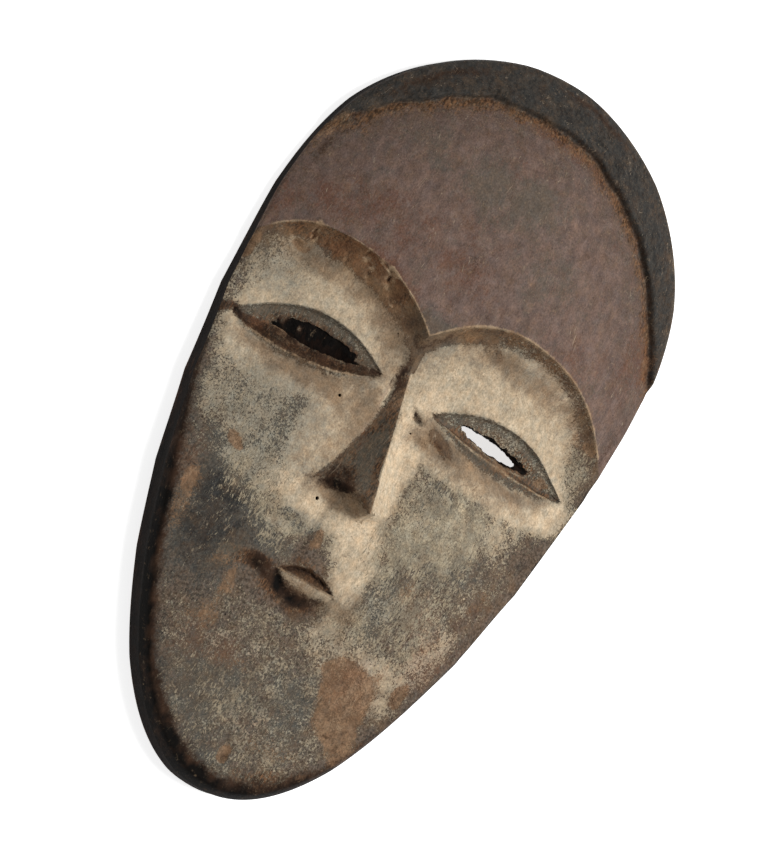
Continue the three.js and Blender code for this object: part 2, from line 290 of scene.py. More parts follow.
@dataclass(frozen=True)
class Arch:
    """One arch of the brow, from where the two join to its outer end."""

    apex_x: float
    apex_y: float
    end_x: float
    end_y: float
    inner: float
    outer: float

    def line(self, x: Array, join: tuple[float, float], runs_on: float) -> Array:
        """Gives the arch's y at an x.

        Args:
            x: the places' x.
            join: where the arches meet.
            runs_on: how far past its end the arch keeps bending.

        Returns:
            The arch's y.
        """
        outside = (x - self.apex_x) * np.sign(self.end_x) > 0
        to_x = np.where(outside, self.end_x, join[0])
        to_y = np.where(outside, self.end_y, join[1])
        power = np.where(outside, self.outer, self.inner)
        part = np.clip((x - self.apex_x) / (to_x - self.apex_x), 0.0, runs_on)
        return self.apex_y + (to_y - self.apex_y) * part**power


@dataclass(frozen=True)
class Brow:
    """Two arches over the eyes, with the wood cut back below them to a scoop over the cheeks."""

    join: tuple[float, float] = (-5.2, 16.0)
    left: Arch = Arch(-26.5, 24.2, -41.5, 16.3, 2.2, 2.6)
    right: Arch = Arch(15.0, 26.0, 41.0, 14.6, 2.4, 2.3)
    runs_on: float = 1.3
    step_depth: float = 2.3
    step_run: float = 2.4
    scoop_depth: float = 1.9
    scoop: tuple[float, float] = (1.0, 6.5)
    lid_swell: float = 1.1
    lid: tuple[float, float] = (7.0, 13.0)
    cheek: tuple[float, float] = (15.0, 44.0)
    temple_least: float = 0.25
    temple_run: float = 12.0

    def line(self, x: Array) -> Array:
        """Gives the brow's crest as y at an x."""
        left, right = (arch.line(x, self.join, self.runs_on) for arch in (self.left, self.right))
        return np.where(x < self.join[0], left, right)

    def cut(self, x: Array, y: Array, inward: Array) -> Array:
        """Measures how deep the wood is cut back below the brow.

        Args:
            x, y: the places.
            inward: their distance to the outline.

        Returns:
            The depth of the cut.
        """
        below = -above(self.line, x, y)
        depth = self.step_depth * crisp(self.step_run, below)
        depth = depth + self.scoop_depth * smooth(*self.scoop, below)
        depth = depth - self.lid_swell * smooth(*self.lid, below)
        edge = mix(self.temple_least, 1.0, smooth(0.0, self.temple_run, inward))
        return depth * edge * fades(*self.cheek, below)


@dataclass(frozen=True)
class Hair:
    """A low band round the crown, above a shallow valley in the forehead."""

    middle_x: float = -1.0
    top_y: float = 64.2
    half_span: float = 38.0
    drop: float = 23.0
    power: float = 2.15
    step: float = 0.8
    step_run: float = 1.1
    valley: float = 0.75
    valley_run: float = 6.0

    def line(self, x: Array) -> Array:
        """Gives the hair's edge as y at an x."""
        wander = 0.3 * np.sin(0.31 * x) + 0.2 * np.sin(0.83 * x + 1.0)
        return self.top_y - self.drop * (np.abs(x - self.middle_x) / self.half_span) ** self.power + wander

    def rise(self, x: Array, y: Array) -> Array:
        """Measures the height that the hair and its valley add.

        Args:
            x, y: the places.

        Returns:
            The height.
        """
        over = above(self.line, x, y)
        valley = self.valley * smooth(-self.valley_run, 0.0, over)
        return (self.step + self.valley) * smooth(-0.2, self.step_run, over) - valley


@dataclass(frozen=True)
class Lens:
    """An almond between two corners, each a place in millimetres."""

    start: tuple[float, float]
    end: tuple[float, float]
    above: float
    below: float

    def at(self, x: Array, y: Array) -> tuple[Array, Array, Array, Array, Array]:
        """Reads places in the lens's own terms.

        Args:
            x, y: the places.

        Returns:
            Share along it, height off its chord, its top and bottom there, and how swollen it is.
        """
        dx, dy = self.end[0] - self.start[0], self.end[1] - self.start[1]
        length = math.hypot(dx, dy)
        along = ((x - self.start[0]) * dx + (y - self.start[1]) * dy) / length**2
        off = math.copysign(1.0, dx) * ((y - self.start[1]) * dx - (x - self.start[0]) * dy) / length
        part = np.clip(along, 0.0, 1.0)
        swell = 4.0 * part * (1.0 - part)
        return along, off, self.above * swell, self.below * swell, swell

    def edge(self, x: Array, upper: bool, least: float = 0.5) -> Array:
        """Gives the lens's upper or lower edge, which runs on level past its corners.

        Args:
            x: the places' x.
            upper: whether the upper edge is meant.
            least: how far the edge keeps from the chord.

        Returns:
            The edge's y.
        """
        _, _, top, bottom, _ = self.at(x, np.zeros_like(x))
        share = np.clip((x - self.start[0]) / (self.end[0] - self.start[0]), 0.0, 1.0)
        chord = mix(self.start[1], self.end[1], share)
        return chord + (np.maximum(top, least) if upper else -np.maximum(bottom, least))


@dataclass(frozen=True)
class Eye:
    """An almond sunk in the scoop, with a slit along it."""

    almond: Lens
    slit: Lens
    step_depth: float = 1.1
    step_run: float = 0.8
    slope: float = 0.9
    ridge: float = 0.5
    valley: float = 1.15
    fade: float = 3.5
    lip: float = 0.35
    ridge_share: float = 0.6
    ridge_least: float = 1.0

    def cut(self, x: Array, y: Array) -> Array:
        """Measures how deep the eye is cut.

        Args:
            x, y: the places.

        Returns:
            The depth of the cut.
        """
        _, off, top, bottom, swell = self.almond.at(x, y)
        inside = top - off
        far = np.maximum(top, self.step_run + 0.1)
        slope = np.clip((inside - self.step_run) / (far - self.step_run), 0.0, 1.0)
        upper = self.step_depth * crisp(self.step_run, inside) + self.slope * smooth(0.0, 1.0, slope)
        full = self.step_depth + self.slope
        ridge_at = self.ridge_share * bottom + self.ridge_least
        rise = np.clip((-off - self.ridge_least) / (ridge_at - self.ridge_least + 1e-6), 0.0, 1.0)
        lid = mix(full, self.ridge, smooth(0.0, 1.0, rise))
        dip = np.clip((-off - ridge_at) / np.maximum(bottom + 0.6 - ridge_at, 0.1), 0.0, 1.0)
        lower = lid + (self.valley - self.ridge) * smooth(0.0, 1.0, dip)
        lower = lower * fades(0.0, 1.0, np.clip((-off - bottom) / self.fade, 0.0, 1.0))
        depth = np.where(off > 0, upper, lower) * np.sqrt(swell)
        _, slit_off, slit_top, slit_bottom, slit_swell = self.slit.at(x, y)
        outside = np.maximum(slit_off - slit_top, -slit_bottom - slit_off)
        rim = bell(outside - 0.5, 0.45) * np.clip(3.0 * slit_swell, 0.0, 1.0)
        return depth - self.lip * rim * (slit_off < 0)


@dataclass(frozen=True)
class Mouth:
    """A lens with a hollow under the upper lip and a ridged lower lip."""

    lens: Lens = Lens((-7.5, -34.2), (5.2, -33.4), 2.4, 2.4)
    cut_depth: float = 1.7
    cut_run: float = 0.6
    under_depth: float = 1.35
    under_reach: float = 3.2
    under_fade: float = 5.0

    def cut(self, x: Array, y: Array) -> Array:
        """Measures how deep the mouth is cut.

        Args:
            x, y: the places.

        Returns:
            The depth of the cut.
        """
        _, off, top, bottom, swell = self.lens.at(x, y)
        height = np.clip(off / np.maximum(top, 0.1), 0.0, 1.0)
        upper = self.cut_depth * crisp(self.cut_run, top - off) * height
        reach = bottom + self.under_reach * swell * 0.4
        down = np.clip(-off / np.maximum(reach, 0.1), 0.0, 1.0) ** 1.6
        fade = smooth(0.0, 1.0, np.clip((-off - reach) / self.under_fade, 0.0, 1.0))
        return (upper + self.under_depth * down * (1.0 - fade)) * np.sqrt(swell)


@dataclass(frozen=True)
class Flank:
    """One side of the nose: its width at the root and the wing, and how it widens, lifts and hollows."""

    root: float
    wing: float
    power: float
    lift: float
    hollow: float


@dataclass(frozen=True)
class Nose:
    """A wedge from the root to its tip, with an arched underside that runs back to the lip."""

    root: tuple[float, float, float] = (-3.3, 9.5, 10.4)
    tip: tuple[float, float, float] = (0.7, -18.1, 17.95)
    left: Flank = Flank(1.4, 11.2, 1.8, 0.4, 1.12)
    right: Flank = Flank(2.2, 6.6, 1.3, 2.6, 1.3)
    arch: float = 2.7
    drop: float = 3.4

    def ridge(self, part: Array) -> tuple[Array, Array, Array]:
        """Gives the ridge's place a part of the way from the root to the tip."""
        x, y, z = (mix(a, b, part) for a, b in zip(self.root, self.tip))
        return x, y, z

    def section(self, x: Array, y: Array) -> tuple[Array, Array, Array]:
        """Finds which section of the nose a place is in.

        Args:
            x, y: the places.

        Returns:
            The part of the way down the ridge, the share of the way out, and -1 or 1 for its side.
        """
        part = np.clip((self.root[1] - y) / (self.root[1] - self.tip[1]), 0.0, 1.0)
        out, side = np.zeros_like(part), np.ones_like(part)
        for _ in range(5):
            ridge_x, _, _ = self.ridge(part)
            side = np.where(x < ridge_x, -1.0, 1.0)
            width = np.where(side < 0, self.width(self.left, part), self.width(self.right, part))
            out = np.abs(x - ridge_x) / width
            lift = np.where(side < 0, self.left.lift, self.right.lift) * part**2 * np.minimum(out, 1.0)
            part = np.clip((self.root[1] - y + lift) / (self.root[1] - self.tip[1]), 0.0, 1.0)
        return part, out, side

    @staticmethod
    def width(flank: Flank, part: Array) -> Array:
        """Gives a flank's width a part of the way down."""
        return mix(flank.root, flank.wing, part**flank.power)

    def foot(self, side: Array, part: Array) -> tuple[Array, Array]:
        """Gives the place of a flank's foot.

        Args:
            side: -1 for the left flank, 1 for the right.
            part: the part of the way down the ridge.

        Returns:
            The foot's x and y.
        """
        x, y, _ = self.ridge(part)
        left = side < 0
        width = np.where(left, -self.width(self.left, part), self.width(self.right, part))
        lift = np.where(left, self.left.lift, self.right.lift) * part**2
        return x + width, y + lift

    def lower_edge(self, x: Array) -> tuple[Array, Array]:
        """Gives the underside's upper and lower edge at an x.

        Args:
            x: the places' x.

        Returns:
            The y of the edge that the flanks end on, and of the foot on the lip.
        """
        one = np.ones_like(x)
        left_x, left_y = self.foot(-one, one)
        right_x, right_y = self.foot(one, one)
        tip_x, tip_y = self.tip[0], self.tip[1]
        share_left = np.clip((x - left_x) / (tip_x - left_x), 0.0, 1.0)
        share_right = np.clip((x - tip_x) / (right_x - tip_x), 0.0, 1.0)
        arched = mix(left_y, tip_y, share_left) + self.arch * 4.0 * share_left**0.8 * (1.0 - share_left)
        edge = np.where(x < tip_x, arched, mix(tip_y, right_y, share_right))
        share = np.clip((x - left_x) / (right_x - left_x), 0.0, 1.0)
        foot = mix(left_y, right_y, share) - self.drop * (4.0 * share * (1.0 - share)) ** 0.6
        return edge, foot

    def height(self, x: Array, y: Array, face: Callable[[Array, Array], Array]) -> Array:
        """Measures the nose over places.

        Args:
            x, y: the places.
            face: the height of the face without the nose.

        Returns:
            The nose's height, or less than the face's where there is no nose.
        """
        edge, foot = self.lower_edge(x)
        flank_y = np.maximum(y, edge)
        part, out, side = self.section(x, flank_y)
        _, _, ridge_z = self.ridge(part)
        foot_z = face(*self.foot(side, part))
        hollow = np.where(side < 0, self.left.hollow, self.right.hollow)
        flank = foot_z + (ridge_z - foot_z) * np.maximum(1.0 - out, 0.0) ** hollow
        under = np.clip((edge - y) / np.maximum(edge - foot, 0.05), 0.0, 1.0)
        ground = face(x, y)
        height = ground + (flank - ground) * (1.0 - under) ** 1.5
        inside = (out < 1.0) & (flank_y <= self.root[1]) & (y > foot)
        return np.where(inside, height, -1.0)


@dataclass(frozen=True)
class Spot:
    """An oval on the face: its place, its radii, both in millimetres, and its turn in degrees."""

    x: float
    y: float
    wide: float
    high: float
    turn: float

    def radius(self, x: Array, y: Array) -> Array:
        """Measures how far out places lie, 1 on the oval's edge."""
        u, v = turned(x - self.x, y - self.y, -math.radians(self.turn))
        return np.hypot(u / self.wide, v / self.high)


@dataclass(frozen=True)
class Dent(Spot):
    """A pit, chip or notch: its depth, and how far its edge is worn bright and its floor dirty."""

    depth: float
    worn: float = 0.0

    def cut(self, x: Array, y: Array) -> Array:
        """Measures the dent's depth."""
        return self.depth * fades(0.35, 1.0, self.radius(x, y))

    def bright(self, x: Array, y: Array) -> Array:
        """Measures how worn its edge is."""
        return self.worn * bell(self.radius(x, y) - 1.0, 0.35)

    def dull(self, x: Array, y: Array) -> Array:
        """Measures how dirty its floor is."""
        return self.worn * fades(0.3, 0.8, self.radius(x, y))


CHIPS = (
    Dent(-31.4, 22.2, 0.5, 1.9, 20, 0.6, 0.9), Dent(-16.4, 21.6, 0.6, 1.7, 25, 0.6, 0.9),
    Dent(-17.6, 22.9, 2.2, 0.5, -18, 0.5, 0.6), Dent(-32.8, 19.2, 1.6, 0.7, -10, 0.45, 0.7),
    Dent(-19.6, 20.3, 0.4, 1.5, 12, 0.4, 0.6), Dent(-24.2, 20.8, 0.4, 1.4, 5, 0.35, 0.5),
    Dent(-22, 23.3, 0.4, 1.3, 16, 0.4, 0.6), Dent(-20.6, 22, 1.3, 0.35, -28, 0.35, 0.7),
    Dent(-28.6, 21.4, 0.35, 1.2, 4, 0.3, 0.4), Dent(-14, 18.6, 0.4, 1.3, 38, 0.35, 0.5),
    Dent(-11.4, 16.6, 0.35, 1.2, 50, 0.3, 0.4), Dent(-26.6, 18.6, 1.2, 0.3, -8, 0.25, 0.3),
    Dent(12.4, 23.2, 0.3, 0.9, -10, 0.25, 0.3), Dent(19.6, 22.6, 0.3, 0.9, -22, 0.25, 0.4),
    Dent(27, 21.6, 0.9, 0.3, -35, 0.25, 0.4), Dent(31.8, 19.6, 0.3, 1, -40, 0.3, 0.4),
    Dent(9, 21, 1.4, 0.4, -12, 0.2, 0.3), Dent(19.2, 21.6, 0.7, 0.4, -20, 0.2, 0.3),
    Dent(1.8, 3, 1.6, 0.9, -40, 0.55), Dent(8, 0.6, 1.5, 0.6, -30, 0.3), Dent(5.4, -0.9, 0.9, 0.7, 0, 0.25),
    Dent(-4.9, 30.2, 0.6, 0.5, 0, 0.35, 0.3), Dent(-3.8, 33.6, 0.4, 0.9, 0, 0.25, 0.3),
    Dent(-12, 21.2, 0.5, 0.4, 0, 0.3, 0.3), Dent(36.3, 17.1, 1.4, 0.8, -25, 0.3),
    Dent(2.6, -68, 1.1, 1.7, 0, 0.4), Dent(26.6, -41.6, 1, 2.2, -10, 0.35),
    Dent(-25.6, -18.3, 2.2, 1, -32, 0.2), Dent(17.4, -55.5, 0.9, 0.7, 30, 0.25),
    Dent(-14, -36, 5, 1.6, 8, 0.35), Dent(-9.5, -36.6, 3, 1.6, 5, 0.3), Dent(33.8, -29.5, 1, 3, -18, 0.3),
    Dent(-36.8, 12.5, 0.8, 2, 0, 0.2), Dent(8.6, 21.4, 1.6, 0.6, -12, 0.2), Dent(11, 22, 0.7, 0.4, 0, 0.25),
    Dent(-9.2, 6.6, 0.8, 0.4, -25, 0.3, 0.3),
)


@dataclass(frozen=True)
class Relief:
    """The whole carving as heights over the plan, and the hollow behind it, in millimetres."""

    egg: Egg = Egg()
    brow: Brow = Brow()
    hair: Hair = Hair()
    eyes: tuple[Eye, Eye] = (
        Eye(Lens((-37.2, 2.6), (-8.1, 6.3), 5.6, 4.4), Lens((-30.1, 4.6), (-12.2, 5.8), 1.9, 1.4)),
        Eye(
            Lens((36.8, 5.9), (4.2, 5.3), 5.4, 3.2), Lens((29.2, 6.4), (10.5, 6.5), 1.4, 1.5),
            ridge=0.4, ridge_share=0.42, ridge_least=0.55,
        ),
    )
    nose: Nose = Nose()
    mouth: Mouth = Mouth()
    crest: tuple[float, float] = (15.5, 13.0)
    crest_span: tuple[float, float] = (30.0, -50.0)
    dome_power: float = 1.15
    wall: tuple[float, float] = (2.4, 5.0)
    wall_span: tuple[float, float] = (30.0, -10.0)
    wall_lean: float = 0.4
    bevel_rise: tuple[float, float] = (0.8, 2.6)
    bevel_run: tuple[float, float] = (0.6, 1.7)
    bevel_span: tuple[float, float] = (0.0, -45.0)
    rim: float = 6.0
    hollow_depth: float = 7.2
    hollow_power: float = 2.4
    wander: Unevenness = Unevenness(11)
    grain: Unevenness = Unevenness(12)

    def wall_top(self, y: Array) -> Array:
        """Gives the height of the straight side wall."""
        return mix(*self.wall, smooth(*self.wall_span, y))

    def dome(self, x: Array, y: Array) -> Array:
        """Measures the plain dome with its bevelled edge.

        Args:
            x, y: the places.

        Returns:
            The height.
        """
        value, inward = self.egg.reach(x, y)
        jaw = smooth(*self.bevel_span, y)
        rise, run = mix(*self.bevel_rise, jaw), mix(*self.bevel_run, jaw)
        edge = self.wall_top(y) + rise * np.sin(math.pi / 2 * np.clip(inward / run, 0.0, 1.0))
        crest = mix(*self.crest, smooth(*self.crest_span, y))
        return edge + (crest - self.wall_top(y) - rise) * (1.0 - value**self.dome_power)

    def plain(self, x: Array, y: Array) -> Array:
        """Measures the face without its nose.

        Args:
            x, y: the places.

        Returns:
            The height.
        """
        _, inward = self.egg.reach(x, y)
        height = self.dome(x, y) - self.brow.cut(x, y, inward) + self.hair.rise(x, y)
        for eye in self.eyes:
            height = height - eye.cut(x, y)
        return height - self.mouth.cut(x, y)

    def face(self, x: Array, y: Array) -> Array:
        """Measures the finished face, with its nose, chips and tool marks.

        Args:
            x, y: the places.

        Returns:
            The height over the plane that the mask lies on.
        """
        plain = self.plain(x, y)
        height = np.maximum(plain, self.nose.height(x, y, self.plain))
        _, inward = self.egg.reach(x, y)
        calm = smooth(0.0, 3.0, inward)
        height = height - 0.11 * calm * (1.0 + self.wander.layered(x, 0.6 * y, 7.0))
        rough = self.roughness(x, y)
        height = height - calm * rough * (1.0 + self.grain.layered(x, 0.45 * y, 1.3, 2))
        for dent in CHIPS:
            height = height - dent.cut(x, y)
        return np.maximum(height, self.wall_top(y))

    def roughness(self, x: Array, y: Array) -> Array:
        """Measures how coarse the surface is: fine on the forehead, coarse in the eyes and below the brow.

        Args:
            x, y: the places.

        Returns:
            How deep its marks are.
        """
        rough = np.full_like(x, 0.035)
        for eye in self.eyes:
            _, off, top, bottom, swell = eye.almond.at(x, y)
            inside = smooth(-0.5, 0.8, np.minimum(top - off, bottom + 0.8 + off)) * (swell > 0)
            rough = rough + 0.13 * inside
        below = -above(self.brow.line, x, y)
        return rough + 0.05 * smooth(0.2, 0.8, below) * fades(2.5, 4.0, below)

    def hollow(self, x: Array, y: Array) -> Array:
        """Measures the bowl behind the face, from its rim up.

        Args:
            x, y: the places.

        Returns:
            The height.
        """
        shrink, narrow = self.hollow_scale()
        value, _ = self.egg.reach(x / shrink, y / shrink, narrow)
        return self.hollow_depth * (1.0 - value**self.hollow_power)

    def hollow_scale(self) -> tuple[float, float]:
        """Gives how much smaller than the outline the hollow is, and how much narrower on top of that."""
        shrink = (self.egg.length / 2 - self.rim) / (self.egg.length / 2)
        return shrink, (self.egg.half_width - self.rim) / self.egg.half_width / shrink


@dataclass(frozen=True)
class Stretch:
    """Rows between one line of the carving and the next: how many, and how they crowd at either end."""

    line: Line
    count: int
    crowd_start: float = 1.0
    crowd_end: float = 1.0

    def parts(self) -> Array:
        """Gives the share of the way to the next line at each row."""
        eased = (np.arange(self.count) / self.count) ** self.crowd_start
        return 1.0 - (1.0 - eased) ** self.crowd_end


@dataclass(frozen=True)
class Columns:
    """Columns of points from the left outline to the right, three of which follow the nose."""

    outer: int = 74
    left_flank: int = 16
    right_flank: int = 14
    above_y: float = 42.0
    below_y: float = -44.0
    spread_above: tuple[float, float, float] = (-0.13, -0.02, 0.09)
    spread_below: tuple[float, float, float] = (-0.2, 0.0, 0.17)

    def guides(self, relief: Relief, y: Array) -> Array:
        """Finds where the crease, the ridge and the right foot of the nose lie across the egg.

        Args:
            relief: the carving.
            y: a height on the egg's own axis for each of the three.

        Returns:
            The three shares across the egg.
        """
        nose = relief.nose
        inside = np.clip(y, nose.tip[1], nose.root[1])
        part = (nose.root[1] - inside) / (nose.root[1] - nose.tip[1])
        ridge_x, ridge_y, _ = nose.ridge(part)
        side = np.array([-1.0, 0.0, 1.0])
        foot_x, foot_y = nose.foot(side, part)
        x = np.where(side == 0, ridge_x, foot_x)
        shares = relief.egg.share_of(x, np.where(side == 0, ridge_y, foot_y))
        up = np.clip((y - nose.root[1]) / (self.above_y - nose.root[1]), 0.0, 1.0)
        down = np.clip((nose.tip[1] - y) / (nose.tip[1] - self.below_y), 0.0, 1.0)
        shares = mix(shares, np.array(self.spread_above), up)
        return mix(shares, np.array(self.spread_below), down)

    def indices(self) -> Array:
        """Gives the columns that the outline, the crease, the ridge, the foot and the outline take."""
        return np.cumsum([0, self.outer, self.left_flank, self.right_flank, self.outer])

    def spread(self, guides: Array) -> Array:
        """Spaces all columns between three guides, crowding them at the outline.

        Args:
            guides: the shares of the three guides.

        Returns:
            A share across the egg for each column.
        """
        t = np.arange(self.outer) / self.outer
        crowd = 0.45 * t + 0.55 * t**1.6
        left = -1.0 + (guides[0] + 1.0) * crowd
        right = (1.0 - (1.0 - guides[2]) * crowd)[::-1]
        inner_left = np.linspace(guides[0], guides[1], self.left_flank, endpoint=False)
        inner_right = np.linspace(guides[1], guides[2], self.right_flank + 1)
        return np.concatenate([left, inner_left, inner_right, right])


def two_sides(grid: Array) -> Array:
    """Lists a grid's last column upwards and its first one back down, as one loop."""
    return np.concatenate([grid[:, -1], grid[::-1, 0]])


def meets(egg: Egg, line: Line, share: Array) -> Array:
    """Finds the egg heights at which shares across it meet a line.

    Args:
        egg: the outline.
        line: gives the line's y at an x.
        share: the shares across the egg.

    Returns:
        A height on the egg's own axis for each share.
    """
    egg_y = np.full_like(share, egg.widest_y)
    for _ in range(40):
        x, y = egg.place(share, egg_y)
        egg_y = np.clip(egg_y + 0.6 * (line(x) - y), -egg.length / 2, egg.length / 2)
    return egg_y


@dataclass
class MeshParts:
    """Points and faces as they are gathered, in millimetres."""

    points: list[Array] = field(default_factory=list)
    faces: list[Array] = field(default_factory=list)
    count: int = 0

    def put(self, x: Array, y: Array, z: Array) -> Array:
        """Adds points.

        Args:
            x, y, z: the points.

        Returns:
            The points' numbers, in the same layout.
        """
        place = np.stack(np.broadcast_arrays(x, y, z), axis=-1).astype(float)
        numbers = self.count + np.arange(place[..., 0].size).reshape(place.shape[:-1])
        self.points.append(place.reshape(-1, 3))
        self.count += place[..., 0].size
        return numbers

    def skin(self, grid: Array, flip: bool = False) -> None:
        """Adds two triangles over each cell of a grid of point numbers.

        Args:
            grid: the numbers, row by row.
            flip: whether the faces look the other way.
        """
        a, b = grid[:-1, :-1], grid[:-1, 1:]
        c, d = grid[1:, 1:], grid[1:, :-1]
        rising = np.arange(a.size).reshape(a.shape) % 2 == 0
        first = np.where(rising[..., None], np.stack([a, b, c], -1), np.stack([a, b, d], -1))
        second = np.where(rising[..., None], np.stack([a, c, d], -1), np.stack([b, c, d], -1))
        both = np.concatenate([first.reshape(-1, 3), second.reshape(-1, 3)])
        self.faces.append(both[:, ::-1] if flip else both)

    def merged(self, within: float = 2e-4) -> tuple[Array, Array]:
        """Joins points that coincide and drops faces that vanish.

        Args:
            within: how close points have to be to be one.

        Returns:
            The points and the triangles.
        """
        points = np.concatenate(self.points)
        keys = np.round(points / within).astype(np.int64)
        _, first, back = np.unique(keys, axis=0, return_index=True, return_inverse=True)
        faces = back.reshape(-1)[np.concatenate(self.faces)]
        whole = (faces[:, 0] != faces[:, 1]) & (faces[:, 1] != faces[:, 2]) & (faces[:, 2] != faces[:, 0])
        return points[first], faces[whole]


class Zone(Enum):
    """Which surface of the carving a point lies on, and so which finish it takes."""

    FACE = 0
    EDGE = 1
    BACK = 2


class Pigment(Enum):
    """What is painted or worn on the face, painted shade among it, each kept as an amount over the surface.
    """

    RED = "red_earth"
    SOOT_AND_SHADE = "soot"
    BROWN = "brown_wood"
    KAOLIN = "kaolin"
    BLUE = "blue_grey"
    BARE = "bare_wood"
    RUST = "rust"
    CHALK = "chalk_streaks"
    STAIN_AND_SHADE = "stain"
    DIRT_AND_SHADE = "dirt"
    WEAR = "wear"


@dataclass(frozen=True)
class Dab(Spot):
    """A patch of pigment, with how much it adds and how soft its edge is."""

    amount: float
    soft: float = 0.5

    def level(self, x: Array, y: Array) -> Array:
        """Measures what the patch adds at places."""
        return self.amount * fades(1.0 - self.soft, 1.0 + self.soft, self.radius(x, y))


